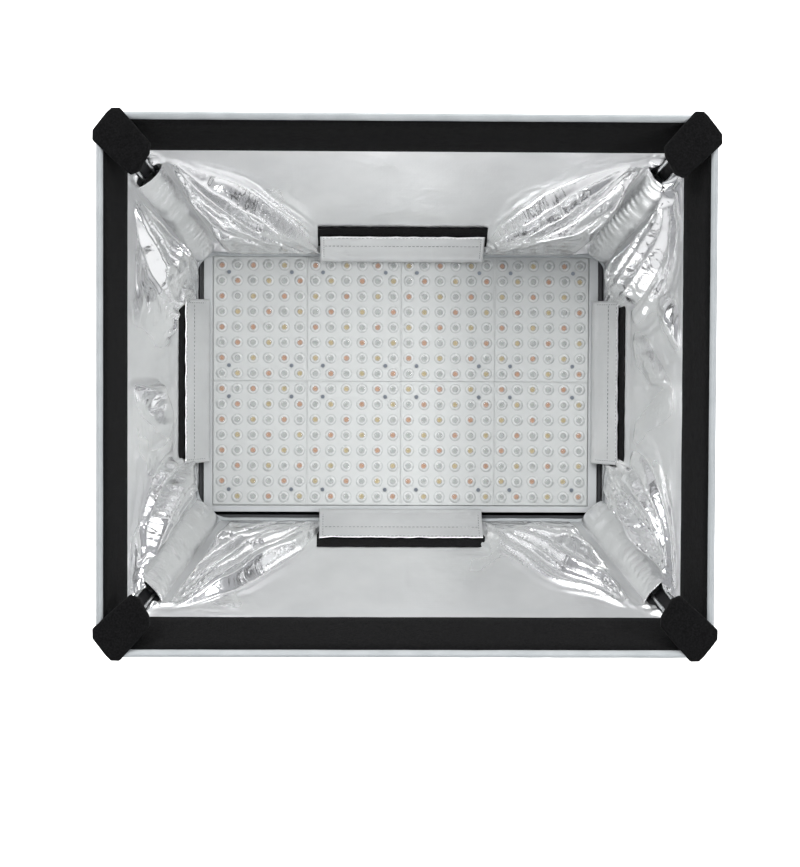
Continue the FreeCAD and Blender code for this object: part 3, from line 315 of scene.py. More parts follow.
def solder_mask():
    paint = Paint("white_solder_mask", (0.74, 0.76, 0.75), 0.4)
    paint.colors(paint.noise(120, 3), (0.3, (0.70, 0.72, 0.71)), (0.7, (0.78, 0.80, 0.79)))
    paint.bump(paint.voronoi(500), 0.03 * MM)
    return paint.material


def phosphor(name, color):
    paint = Paint(name, color, 0.45, Subsurface_Weight=0.1)
    darker = tuple(c * 0.82 for c in color)
    paint.colors(paint.noise(1600, 3), (0.3, darker), (0.7, color))
    paint.bump(paint.noise(3000, 2), 0.05 * MM)
    return paint.material


def dark_glass():
    paint = Paint("display_glass", (0.012, 0.014, 0.017), 0.06, Coat_Weight=0.5)
    paint.roughness(paint.noise(60, 4), 0.04, 0.12)
    return paint.material


# ---------------- mesh helpers


def add_piece(name, data, body):
    """Put a mesh or curve in the scene as a piece that rides on a body."""
    made = bpy.data.objects.new(name, data)
    bpy.context.scene.collection.objects.link(made)
    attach(made, body)
    return made


def new_object(name, vertices, faces, material, body, smooth=True):
    mesh = bpy.data.meshes.new(name)
    mesh.from_pydata([tuple(v) for v in vertices], [], [tuple(f) for f in faces])
    mesh.update()
    mesh.polygons.foreach_set("use_smooth", [smooth] * len(mesh.polygons))
    mesh.materials.append(material)
    return add_piece(name, mesh, body)


def grid_faces(rows, columns, closed=False, offset=0):
    """Quads of a grid of vertices stored row by row; closed joins the last column to the first."""
    last = columns if closed else columns - 1
    faces = []
    for r in range(rows - 1):
        for c in range(last):
            a = offset + r * columns + c
            b = offset + r * columns + (c + 1) % columns
            faces.append((a, b, b + columns, a + columns))
    return faces


def thicken(item, thickness):
    modifier = item.modifiers.new("solidify", "SOLIDIFY")
    modifier.thickness, modifier.offset = thickness, 0


def subdivide(item, render_levels=1):
    modifier = item.modifiers.new("subsurf", "SUBSURF")
    modifier.levels, modifier.render_levels = 1, render_levels


def set_crumple(item, values):
    """Say how crumpled the cloth is, from 0 to 1, at each vertex or all over."""
    if isinstance(values, float):
        values = [values] * len(item.data.vertices)
    layer = item.data.attributes.new("crumple", "FLOAT", "POINT")
    layer.data.foreach_set("value", [float(v) for v in values])


def patch(name, rows, columns, place, material, body, crumple, thickness):
    """Cloth through place(t, a): t runs from 0 to 1 over its rows and a from -1 to 1 across them."""
    vertices = [place(r / (rows - 1), 2 * c / (columns - 1) - 1)
                for r in range(rows) for c in range(columns)]
    made = new_object(name, vertices, grid_faces(rows, columns), material, body)
    set_crumple(made, crumple)
    thicken(made, thickness)
    return made


def ruffle(point, size, seed=0.0):
    """Smooth noise from -1 to 1 at a place, with bumps of about the given size."""
    shift = Vector((seed, seed * 1.7, seed * 0.3))
    return noise.noise(Vector(point) / size + shift)


# ---------------- places on the frustum


def along_axis(side):
    """Which of a pair of half sizes a wall runs along: 0 is the width and 1 the height."""
    return 1 if side in ("left", "right") else 0


def half_sizes(share, lift=0.0):
    return REAR + (FRONT - REAR) * share - lift / np.cos(SLOPE)


def even(count):
    """Places from -1 to 1 along a wall."""
    return 2 * (np.arange(count) + 0.5) / count - 1


def crowded(count):
    """Places from -1 to 1 along a wall, closer together near its ends."""
    crowding = 0.3
    return even(count) * (1 + crowding - crowding * np.abs(even(count)))


def ring_layout(wide, high, corner, places=even):
    """Wall, place along it from -1 to 1 and corner turn of each point round the frustum."""
    layout = []
    for side, count in zip(SIDES, (wide, high, wide, high)):
        layout += [(side, float(a), 0.0) for a in places(count)]
        layout += [(side, 1.0, (i + 0.5) / corner) for i in range(corner)]
    return layout


TURNS = {side: k * math.pi / 2 for k, side in enumerate(SIDES)}


def turned(side, along, out):
    """A place on a wall, given as if it were the top wall, in x and z about the axis."""
    c, s = math.cos(TURNS[side]), math.sin(TURNS[side])
    return along * c + out * s, -along * s + out * c


def ring(share, lift, radius, layout, halves=None, depth=None):
    """Points round the frustum, clockwise from the top left seen from the front.

    halves and depth stand in for the frustum's own half sizes and depth at this share."""
    half_x, half_z = halves if halves is not None else half_sizes(share, lift)
    y = REAR_Y - (share * DEPTH if depth is None else depth)
    points = []
    for side, along, turn in layout:
        axis = along_axis(side)
        out = (half_z, half_x)[axis] - radius
        angle = turn * math.pi / 2
        local_x = along * ((half_x, half_z)[axis] - radius) + radius * math.sin(angle)
        local_z = out + radius * math.cos(angle)
        x, z = turned(side, local_x, local_z)
        points.append(Vector((x, y, z + AXIS_Z)))
    return points


# ---------------- softbox fabric


def band(name, stations, layout, material, wavy):
    """A closed band round the frustum through (share, lift, corner radius) stations."""
    vertices = []
    for share, lift, radius in stations:
        vertices += [p + wavy(p, share) for p in ring(share, lift, radius, layout)]
    faces = grid_faces(len(stations), len(layout), True)
    return new_object(name, vertices, faces, material, "head")


def low_top(share, x):
    """How far the lining hangs below the top wall: a taut plane between the strut sleeves."""
    start = half_sizes(0.0)[1] - TOP_LOW
    full = start * max(0.0, 1 - share / MEET)
    half = half_sizes(share)[0]
    sleeve, fade = 12 * MM, 22 * MM
    edge = np.clip((half - sleeve - abs(x)) / fade, 0, 1)
    return full * edge * edge * (3 - 2 * edge)


def lining_grid(layout, shares):
    """Places and inward directions of the lining lying flat on its walls, row by row."""
    lift = 1.3 * MM
    points = np.empty((len(shares), len(layout), 3))
    for r, share in enumerate(shares):
        radius = (20 - 10 * share) * MM
        points[r] = np.array([tuple(p) for p in ring(share, lift, radius, layout)])
        for c, (side, _, turn) in enumerate(layout):
            if side == "top" and turn == 0.0:
                points[r, c, 2] -= low_top(share, points[r, c, 0])
    across = np.roll(points, -1, axis=1) - np.roll(points, 1, axis=1)
    down = np.gradient(points, axis=0)
    inward = np.cross(across, down)
    inward /= np.linalg.norm(inward, axis=2, keepdims=True)
    middle = np.array([0.0, FRONT_Y, AXIS_Z]) - points
    inward *= np.sign((inward * middle).sum(axis=2, keepdims=True))
    return points, inward


def wall_noise(p, d, size, seed):
    return noise.noise(Vector((p / size, d / size, seed * 7.3)))


# Each half wall's folds run between its flap's end, in metres along the wall and forward from the
# middle of its rear edge, and its strut sleeve's mouth.
FLAP_END = np.array([71 * MM, -3 * MM])
MOUTH_SHARE, MOUTH_INSET = 0.7, 16 * MM
# The cloth by a flap is flat this far along and forward, and takes up its folds over CLEAR_FADE.
CLEAR_ALONG, CLEAR_FORWARD, CLEAR_FADE = 74 * MM, 60 * MM, 16 * MM
# Angle that the folds reach towards the wall's middle, how sharply they end there, and the depth of
# the soft swells beyond them, by along_axis.
FOLD_REACH = ((0.42, 11, 1.6 * MM), (1.0, 6, 5.5 * MM))
# Heights of the wide and fine folds, as shares of the room between their ends, then the height and
# spread of the gathers at the rear corner.
WIDE_FOLD, FINE_FOLD = 0.66, 0.07
GATHER, GATHER_SPREAD = 2.6 * MM, 52 * MM


def fold_height(side, along, share, half_length, slant, seed):
    """Height of the folds drawn between a flap's end and the mouth of the nearest strut sleeve.

    They follow the circles through those two places, which crowd together at both."""
    p = abs(along) * half_length
    d = share * slant
    axis = along_axis(side)
    mouth = np.array([half_sizes(MOUTH_SHARE)[axis] - MOUTH_INSET, MOUTH_SHARE * slant])
    line = mouth - FLAP_END
    here = np.array([p, d])
    a, b = here - FLAP_END, here - mouth
    turn_a = math.atan2(line[0] * a[1] - line[1] * a[0], float(line @ a))
    turn_b = math.atan2(-line[0] * b[1] + line[1] * b[0], float(-line @ b))
    angle = turn_a - turn_b
    room = np.hypot(*a) * np.hypot(*b) / np.hypot(*line)
    bend = 0.22 * wall_noise(p, d, 0.07, seed + 3)
    wide = noise.noise(Vector((3.9 * (angle + bend), seed * 5.1, 0.004 * seed)))
    fine = noise.noise(Vector((12.0 * (angle + bend), seed * 3.7, d * 4)))
    height = WIDE_FOLD * abs(wide) ** 0.8 * room + FINE_FOLD * fine * room
    rear_corner = math.hypot(p - half_sizes(0)[axis], d)
    gathered = math.exp(-(rear_corner / GATHER_SPREAD) ** 2)
    crossing = 1 - 2.2 * abs(wall_noise(p, d, 0.021, seed + 11))
    height += GATHER * gathered * crossing
    limit, fall, depth = FOLD_REACH[axis]
    inside = 1 / (1 + math.exp((angle - limit) * fall))
    away = math.hypot(max(0.0, p - CLEAR_ALONG), max(0.0, d - CLEAR_FORWARD))
    clear = np.clip(away / CLEAR_FADE, 0, 1)
    swell = max(0.0, 0.36 + wall_noise(p + 0.5 * d, d * 0.45, 0.045, seed + 5))
    soft = 2.2 * depth * clear * swell**2
    return max(height * inside * clear, 0.0) + max(soft, 0.0)


# Stiffness of the lining's threads, of its diagonals and of threads two steps long. Those resist only
# creases, and only once they are shorter than CREASED times their length.
THREAD, DIAGONAL, CREASE = 1.0, 0.35, 0.25
CREASED = 0.86


def cloth_pairs(rows, count):
    """Thread pairs of a closed grid in groups that share no vertex, with each group's stiffness."""
    index = np.arange(rows * count).reshape(rows, count)
    groups = []
    for step, stiff in ((1, THREAD), (2, CREASE)):
        for phase in range(2):
            columns = [c for c in range(count) if (c // step) % 2 == phase]
            after = [(c + step) % count for c in columns]
            groups.append((index[:, columns].ravel(), index[:, after].ravel(), stiff))
            chosen = [r for r in range(rows - step) if (r // step) % 2 == phase]
            below = [r + step for r in chosen]
            groups.append((index[chosen].ravel(), index[below].ravel(), stiff))
    for phase in range(2):
        upper = index[phase:rows - 1:2]
        lower = index[phase + 1:rows:2]
        groups.append((upper.ravel(), np.roll(lower, -1, axis=1).ravel(), DIAGONAL))
        groups.append((np.roll(upper, -1, axis=1).ravel(), lower.ravel(), DIAGONAL))
    return groups


def relax(start, cut, wall, inward, free, cap, groups, rounds):
    """Move the cloth, between its wall and a cap, until its threads have their cut lengths."""
    tiny = 1e-9
    x = start.copy()
    lengths = [np.linalg.norm(cut[i] - cut[j], axis=1) for i, j, _ in groups]
    for _ in range(rounds):
        for (i, j, stiff), length in zip(groups, lengths):
            gap = x[j] - x[i]
            now = np.sqrt((gap * gap).sum(axis=1)) + tiny
            weight = free[i] + free[j] + tiny
            if stiff == CREASE:
                stretch = np.minimum(now - CREASED * length, 0)
            else:
                stretch = now - length
            move = gap * (stiff * stretch / (now * weight))[:, None]
            x[i] += move * free[i][:, None]
            x[j] -= move * free[j][:, None]
        lift = ((x - wall) * inward).sum(axis=1)
        x += inward * (np.clip(lift, 0, cap) - lift)[:, None] * free[:, None]
    return x


def lining_heights(layout, shares):
    """Height of the folds at each place of the lining, row by row."""
    bare_corner, corner_fade, sleeve_end = 11 * MM, 8 * MM, 0.66
    tape, tape_fade = 0.765, 0.10
    lowest, slope, highest = 1.2 * MM, 62 * MM, 17 * MM  # of the limit, which grows forward
    height = np.zeros((len(shares), len(layout)))
    for c, (side, along, turn) in enumerate(layout):
        if turn > 0:
            continue
        axis = along_axis(side)
        slant = DEPTH / math.cos(SLOPE[1 - axis])
        seed = SIDES.index(side) * 2 + (1 if along > 0 else 0) + 1.5
        for r, share in enumerate(shares):
            half = half_sizes(share)[axis]
            height[r, c] = fold_height(side, along, share, half, slant, seed)
            if share < sleeve_end:
                from_corner = half * (1 - abs(along))
                height[r, c] *= np.clip((from_corner - bare_corner) / corner_fade, 0, 1)
    fade = np.clip((tape - shares) / tape_fade, 0, 1)[:, None]
    most = np.minimum(lowest + slope * (shares - shares[0]), highest)[:, None]
    return np.clip(height * fade, 0, most)


def make_lining(material):
    """Silver lining, cut wider than its frustum near the rear corners and settled into folds."""
    layout = ring_layout(132, 112, 8, crowded)
    rows, count = 66, len(layout)
    shares = np.linspace(0.03, 0.80, rows)
    wall, inward = (part.reshape(-1, 3) for part in lining_grid(layout, shares))
    lift = lining_heights(layout, shares).reshape(-1, 1)
    free = np.clip(lift[:, 0] / (0.8 * MM), 0, 1)
    free[:count] = 0.0
    rng = np.random.default_rng(7)
    jitter = rng.uniform(0, 0.4 * MM, lift.shape)
    start = wall + inward * (0.7 * lift + jitter * free[:, None])
    cut = wall + inward * 1.35 * lift
    rounds = 160
    cap = np.minimum(0.8 * MM + 1.7 * lift[:, 0], 19 * MM)
    settled = relax(start, cut, wall, inward, free, cap, cloth_pairs(rows, count), rounds)
    edge = np.array([tuple(p) for p in opening_path(layout, 2.4 * MM, 1.2 * MM)])
    vertices = np.vstack([edge, settled])
    faces = grid_faces(rows + 1, count, True)
    made = new_object("lining", vertices, faces, material, "head")
    crumple = np.clip(lift[:, 0] / (5.6 * MM), 0, 1)
    set_crumple(made, np.concatenate([crumple[:count], crumple]))
    subdivide(made)
    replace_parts(made, *[f"lining_wall_{side}" for side in SIDES])
    grid = cut.reshape(rows, count, 3)


# Corner radii of the lining's opening over the panel, clockwise from the top left, in metres.
OPENING_RADII = {"top": 13 * MM, "right": 20 * MM, "bottom": 28 * MM, "left": 15 * MM}


def opening_path(layout, outset=0.0, forward=0.0):
    """The rear edge of the lining: a rounded window just in front of the panel's bezel."""
    low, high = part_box("flap_roots")
    half_x = high[0] + 2.5 * MM + outset
    top = TOP_LOW - 0.6 * MM + outset
    bottom = AXIS_Z - low[2] + 0.5 * MM + outset
    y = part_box("front_bezel")[0][1] - 1.6 * MM - forward
    points = []
    for side, along, turn in layout:
        before = SIDES[SIDES.index(side) - 1]
        radius, last = OPENING_RADII[side] + outset, OPENING_RADII[before] + outset
        ends = {"right": (top, bottom), "left": (bottom, top)}
        left_end, right_end = ends.get(side, (half_x, half_x))
        out = {"top": top, "bottom": bottom}.get(side, half_x)
        start, stop = -left_end + last, right_end - radius
        angle = turn * math.pi / 2
        local_x = start + (stop - start) * (along + 1) / 2 + radius * math.sin(angle)
        local_z = out - radius * (1 - math.cos(angle))
        x, z = turned(side, local_x, local_z)
        most = half_sizes((REAR_Y - y) / DEPTH, 1.2 * MM)
        beyond = max(0.0, abs(x) - most[0], -z - most[1])
        x = min(max(x, -most[0]), most[0])
        points.append(Vector((x, y - beyond, AXIS_Z + max(z, -most[1]))))
    return points


def make_opening_binding(material, stitch):
    """Narrow binding sewn round the lining's rear edge."""
    layout = ring_layout(90, 70, 12)
    # Its cross-section, in millimetres outward from the edge and forward.
    profile = [(0.3, 0.1), (0.0, 0.6), (0.4, 1.3), (2.0, 1.7), (3.8, 1.5), (4.6, 0.9), (4.4, 0.2)]
    vertices = []
    for outset, forward in profile:
        points = opening_path(layout, outset * MM, forward * MM)
        for p in points:
            wave = Vector((ruffle(p, 0.02, 2), 0.3 * ruffle(p, 0.009, 4), ruffle(p, 0.02, 6)))
            vertices.append(p + wave * 0.6 * MM)
    faces = grid_faces(len(profile), len(layout), True)
    made = new_object("opening_binding", vertices, faces, material, "head")
    set_crumple(made, 0.2)
    subdivide(made)
    path = opening_path(layout, 3.2 * MM, 1.8 * MM)
    stitches("opening_stitches", path + path[:1], 3.0 * MM, 2.1 * MM, 0.18 * MM, stitch, "head")


def make_shell(material):
    layout = ring_layout(70, 60, 5)
    front_share = 0.955

    def slack(point, share):
        push = 0.9 * MM * ruffle(point, 0.05) + 0.4 * MM * ruffle(point, 0.018, 3)
        inward = Vector((-point.x, 0, AXIS_Z - point.z)).normalized()
        return inward * push * math.sin(math.pi * min(1, share))

    stations = [(s, -1.6 * MM, 5 * MM) for s in np.linspace(0.0, front_share, 30)]
    made = band("outer_shell", stations, layout, material, slack)
    thicken(made, 0.6 * MM)
    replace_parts(made, *[f"shell_wall_{side}" for side in SIDES])


def make_hem(material, stitch):
    """Pale binding folded over the front edge, with a row of stitches along its middle."""
    layout = ring_layout(80, 70, 12)
    cut = 20 * MM  # corner radius
    # Its cross-section: shares, and lifts in millimetres.
    profile = [(0.935, -2.0), (0.95, -2.6), (0.975, -2.8), (0.995, -2.2), (1.0, -0.6), (1.0, 1.2),
               (0.993, 2.4), (0.97, 2.7), (0.945, 2.4)]
    stations = [(share, lift * MM, cut) for share, lift in profile]

    def puckered(point, share):
        return Vector((0, 0.25 * MM * ruffle(point, 0.006), 0.25 * MM * ruffle(point, 0.008, 5)))

    made = band("hem_binding", stations, layout, material, puckered)
    subdivide(made)
    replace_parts(made, "front_hem")
    path = ring(1.0, 0.4 * MM, cut, layout, depth=DEPTH + 0.15 * MM)
    stitches("hem_stitches", path + path[:1], 3.2 * MM, 2.2 * MM, 0.22 * MM, stitch, "head")


def make_tapes(material):
    """Four lengths of loop tape inside the front edge, with slightly uneven inner edges."""
    layout = ring_layout(150, 130, 6)
    # Their cross-section: shares, and lifts in millimetres.
    profile = [(0.755, 1.9), (0.765, 3.2), (0.80, 3.6), (0.87, 3.7), (0.95, 3.9), (0.98, 3.7),
               (0.984, 2.6)]
    stations = [(share, lift * MM, 12 * MM) for share, lift in profile]

    def frayed(point, share):
        edge = 1.0 if share < 0.78 else 0.15
        drift = 1.6 * MM * ruffle(point, 0.045, 2) + 0.7 * MM * ruffle(point, 0.006, 9)
        return Vector((0, edge * drift, 0))

    made = band("front_loop_tape", stations, layout, material, frayed)
    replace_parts(made, "loop_tapes")


# A stitch's profile: places along its length, and its radius there.
STITCH = ((-0.5, 0.3), (-0.35, 1.0), (0.35, 1.0), (0.5, 0.3))
STITCH_SIDES = 6


def stitches(name, path, pitch, length, radius, material, body):
    """A row of short threads lying along a path."""
    points = [Vector(p) for p in path]
    distances = [0.0]
    for a, b in zip(points, points[1:]):
        distances.append(distances[-1] + (b - a).length)
    vertices, faces = [], []
    step = 0
    for k in range(int(distances[-1] / pitch)):
        middle = (k + 0.5) * pitch
        while distances[step + 1] < middle:
            step += 1
        a, b = points[step], points[step + 1]
        run = max(distances[step + 1] - distances[step], 1e-9)
        place = a.lerp(b, (middle - distances[step]) / run)
        along = (b - a).normalized()
        side = along.orthogonal().normalized()
        other = along.cross(side)
        base = len(vertices)
        for offset, width in STITCH:
            for q in range(STITCH_SIDES):
                angle = 2 * q * math.pi / STITCH_SIDES
                spoke = side * math.cos(angle) + other * math.sin(angle)
                vertices.append(place + along * offset * length + spoke * radius * width)
        faces += grid_faces(len(STITCH), STITCH_SIDES, True, base)
        faces.append(tuple(base + q for q in reversed(range(STITCH_SIDES))))
        faces.append(tuple(len(vertices) - STITCH_SIDES + q for q in range(STITCH_SIDES)))
    new_object(name, vertices, faces, material, body)


def corner_point(sx, sz, share, inset):
    half_x, half_z = half_sizes(share)
    return Vector((sx * (half_x - inset), REAR_Y - share * DEPTH, AXIS_Z + sz * (half_z - inset)))


def corner_strip(name, sx, sz, shares, inset, half_width, material, bulge, ripple, seed):
    """Cloth laid across a corner of the frustum, from wall to wall, along a run of shares."""
    across = Vector((sx, 0, -sz)).normalized()
    inward = Vector((-sx, 0, -sz)).normalized()

    def place(t, a):
        share = shares[0] + (shares[1] - shares[0]) * t
        waves = 0.9 * ruffle((a * 0.010, share * 0.2, seed * 0.1), 0.011, seed)
        puckers = max(0.0, 0.45 + ruffle((a * 0.9, share * 2.2, seed), 0.5, seed + 4))
        drift = 5.0 * ruffle((share * 2, a * 0.5, seed), 0.4, seed)
        waves += 0.75 * puckers * math.sin(share * 190 + 2.4 * a + drift)
        rise = bulge * (1 - a * a) + ripple * waves * (1 - a**4)
        return corner_point(sx, sz, share, inset) + across * a * half_width + inward * rise

    made = patch(name, 48, 17, place, material, "head", 0.55, 0.5 * MM)
    subdivide(made)
    return made


CORNERS = {"top_left": (-1, 1), "top_right": (1, 1),
           "bottom_left": (-1, -1), "bottom_right": (1, -1)}


def make_corners(silver, pile, nylon):
    """Strut sleeves, the bare outer cloth beyond their mouths, and the pockets over the corners."""
    for seed, (name, (sx, sz)) in enumerate(CORNERS.items()):
        sleeve = corner_strip(f"sleeve_{name}", sx, sz, (0.03, 0.64), 10.4 * MM, 15.6 * MM, silver,
                              3.4 * MM, 1.1 * MM, seed + 1.0)
        gusset = corner_strip(f"gusset_{name}", sx, sz, (0.60, 0.80), 10.5 * MM, 13.5 * MM, nylon,
                              -6.2 * MM, 0.3 * MM, seed + 7.0)
        make_pocket(name, sx, sz, pile)
    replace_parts(bpy.data.objects["sleeve_top_left"], "strut_sleeves")
    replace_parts(bpy.data.objects["pocket_top_left"], "corner_pockets")


# Outline of a corner pocket, in millimetres inward from the softbox's outermost corner.
POCKET_OUTLINE = ((12, 5), (16, 1.2), (23, 1.0), (47, 29), (46, 37), (38, 51), (31, 54),
                  (1.0, 27), (1.2, 19), (5, 14))
# Its layers from the middle of its face round to its back: growth, and millimetres from the front.
POCKET_LAYERS = ((0.25, 0.3), (0.6, 0.2), (0.85, 0.3), (0.97, 1.0), (1.0, 3.0), (0.99, 8.0),
                 (0.95, 13.0))


def make_pocket(name, sx, sz, material):
    """A folded pile pocket that wraps the corner: a front face with rolled outer edges."""
    low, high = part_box("corner_pockets")
    half_x, half_z = high[0], (high[2] - low[2]) / 2
    front = low[1]
    reach, steps = 76 * MM, 6
    outline = [(x * MM, z * MM) for x, z in POCKET_OUTLINE]
    dense = []
    for i, (a, b) in enumerate(outline):
        c, d = outline[(i + 1) % len(outline)]
        dense += [(a + (c - a) * k / steps, b + (d - b) * k / steps) for k in range(steps)]
    middle = (sum(p[0] for p in dense) / len(dense), sum(p[1] for p in dense) / len(dense))
    vertices = [Vector((sx * (half_x - middle[0]), front, AXIS_Z + sz * (half_z - middle[1])))]
    for grow, sink in POCKET_LAYERS:
        for a, b in dense:
            x = middle[0] + (a - middle[0]) * grow
            z = middle[1] + (b - middle[1]) * grow
            depth = sink * MM + 0.5 * MM * ruffle((x, z, sx + sz), 0.014, 4)
            depth += 6 * MM * max(0.0, (x + z) / reach - 0.55)
            vertices.append(Vector((sx * (half_x - x), front + depth, AXIS_Z + sz * (half_z - z))))
    count = len(dense)
    faces = [(0, 1 + (k + 1) % count, 1 + k) for k in range(count)]
    faces += grid_faces(len(POCKET_LAYERS), count, True, 1)
    made = new_object(f"pocket_{name}", vertices, faces, material, "head")
    bm = bmesh.new()
    bm.from_mesh(made.data)
    bmesh.ops.recalc_face_normals(bm, faces=bm.faces)
    bm.to_mesh(made.data)
    bm.free()
    subdivide(made, 2)


def make_skirt(material):
    """Elastic band round the housing, behind the softbox."""
    low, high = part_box("rear_skirt")
    half_x, half_z = (high[0] - low[0]) / 2, (high[2] - low[2]) / 2
    layout = ring_layout(120, 90, 10)
    rows = 14
    halves = np.array([half_x - 0.6 * MM, half_z - 0.6 * MM])
    vertices = []
    for r in range(rows):
        t = r / (rows - 1)
        y = low[1] + (high[1] - low[1]) * t
        points = ring(0, 0, 9 * MM, layout, halves=halves, depth=REAR_Y - y)
        for k, p in enumerate(points):
            swell = 0.35 * MM * math.sin(k * 1.9) * math.sin(math.pi * t)
            outward = Vector((p.x / half_x, 0, (p.z - AXIS_Z) / half_z)).normalized()
            vertices.append(p + outward * swell)
    faces = grid_faces(rows, len(layout), True)
    made = new_object("skirt_band", vertices, faces, material, "head")
    thicken(made, 0.9 * MM)
    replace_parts(made, "rear_skirt")


def make_piping(material):
    """Sewn seam piping down the four outer corners."""
    runs = 15
    for name, (sx, sz) in CORNERS.items():
        curve = bpy.data.curves.new(f"seam_{name}", "CURVE")
        curve.dimensions = "3D"
        curve.bevel_depth = 1.3 * MM
        curve.bevel_resolution = 3
        spline = curve.splines.new("POLY")
        spline.points.add(runs)
        for k, point in enumerate(spline.points):
            share = 0.01 + 0.93 * k / runs
            point.co = (*corner_point(sx, sz, share, -0.6 * MM), 1)
        curve.materials.append(material)
        add_piece(f"seam_{name}", curve, "head")


# ---------------- flaps


def wall_axes(side):
    """Unit vectors of a wall, along its rear edge and outward."""
    turn = TURNS[side]
    along = Vector((math.cos(turn), 0, -math.sin(turn)))
    outward = Vector((math.sin(turn), 0, math.cos(turn)))
    return along, outward


def flap_plane(side):
    """Fold line, direction to the free edge, facing and size of a flap, from its CAD node."""
    along, outward = wall_axes(side)
    fold = Vector(joints[f"flap_{side}_fold"]["pos_m"])
    points = [v.co.copy() for v in frame["nodes"][f"mount_flap_{side}"].data.vertices]
    far = max(points, key=lambda p: (p - fold).dot(outward))
    reach = far - fold
    reach -= along * reach.dot(along)
    half = max((p - fold).dot(along) for p in points)
    facing = along.cross(reach).normalized()
    if facing.y > 0:
        facing = -facing
    return fold, along, reach, facing, half


def make_flap(side, silver, pile, stitch, seed):
    """A flap's cloth with its two rows of stitches, and its hook tape."""
    fold, along, reach, facing, half = flap_plane(side)
    length = reach.length
    direction = reach / length
    hem_row, hem_side, hem_rise = 0.86, 0.955, 0.15 * MM

    def place(t, a):
        lift = 0.45 * MM + 0.7 * MM * ruffle((a, t * 0.25, seed), 0.16, seed) * t * (1.2 - t)
        lift += 0.25 * MM * ruffle((a, t * 0.4, seed), 0.06, seed + 3)
        lift += 0.4 * MM * math.exp(-((t - 0.12) / 0.08) ** 2)
        if t > hem_row or abs(a) > hem_side:
            lift += hem_rise
        edge = 1.1 * MM * ruffle((a * 2, seed, 0), 0.3, seed) * t**3
        down = direction * (0.4 * MM + t * (length - 1.6 * MM) + edge)
        return fold + along * a * half + down + facing * (lift - 0.1 * MM)

    body = f"flap_{side}"
    made = patch(f"flap_cloth_{side}", 22, 71, place, silver, body, 0.3, 0.6 * MM)
    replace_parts(made, f"mount_flap_{side}")
    top = facing * 0.75 * MM
    rows_of_stitches = {
        "flap_stitches": [(-hem_side, 0.1), (-hem_side, 0.92), (hem_side, 0.92), (hem_side, 0.1)],
        "flap_hook_stitches": [(-hem_side, 0.62), (hem_side, 0.62)],
    }
    for name, places in rows_of_stitches.items():
        path = [fold + along * a * half + direction * t * length + top for a, t in places]
        stitches(f"{name}_{side}", path, 3.4 * MM, 2.3 * MM, 0.2 * MM, stitch, body)
    slab(f"hook_tape_{side}", f"hook_strip_{side}", pile, body, 0.25 * MM, 5.0)


def slab(name, node, material, body, rough, seed):
    """A soft strip in the place of a flat CAD strip: the same outline with an uneven pile surface."""
    bm = bmesh.new()
    bm.from_mesh(frame["nodes"][node].data)
    bmesh.ops.remove_doubles(bm, verts=bm.verts, dist=0.02 * MM)
    bmesh.ops.dissolve_limit(bm, angle_limit=0.02, verts=bm.verts, edges=bm.edges)
    long_edges = [e for e in bm.edges if e.calc_length() > 0.05]
    bmesh.ops.subdivide_edges(bm, edges=long_edges, cuts=60, use_grid_fill=True)
    for vert in bm.verts:
        vert.co += Vector((
            rough * ruffle(vert.co, 0.006, seed),
            rough * ruffle(vert.co, 0.007, seed + 1),
            rough * ruffle(vert.co, 0.006, seed + 2),
        ))
    mesh = bpy.data.meshes.new(name)
    bm.to_mesh(mesh)
    bm.free()
    mesh.materials.clear()
    mesh.materials.append(material)
    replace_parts(add_piece(name, mesh, body), node)


def make_roots(silver):
    """Cloth from the rear edge to each flap's fold."""
    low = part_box("flap_roots")[0][1]
    centre = Vector((0, 0, AXIS_Z))
    for seed, side in enumerate(SIDES):
        fold, along, _, _, half = flap_plane(side)
        outward = wall_axes(side)[1]
        edge = REAR[1 - along_axis(side)] - 1.4 * MM
        start = (fold - centre).dot(outward)

        def place(t, a):
            out = start + 0.6 * MM + (edge - start) * t
            y = low + 0.3 * MM * ruffle((a, t, seed), 0.15, seed) - 0.5 * MM * (1 - t) ** 4
            spot = centre + along * a * (half - 0.5 * MM) + outward * out
            return Vector((spot.x, y, spot.z))

        patch(f"root_cloth_{side}", 9, 61, place, silver, "head", 0.1, 0.5 * MM)
    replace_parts(bpy.data.objects["root_cloth_top"], "flap_roots")


# ---------------- LED panel


LED_COLUMNS, LED_ROWS, LED_SIDE = 24, 16, 5.0 * MM


def led_lattice():
    """Pitch of the LEDs and the place of the first one, in x and z."""
    low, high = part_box("phosphor_leds")
    size = np.array([high[0] - low[0], high[2] - low[2]]) - LED_SIDE
    first = np.array([low[0], low[2]]) + LED_SIDE / 2
    return size / np.array([LED_COLUMNS - 1, LED_ROWS - 1]), first


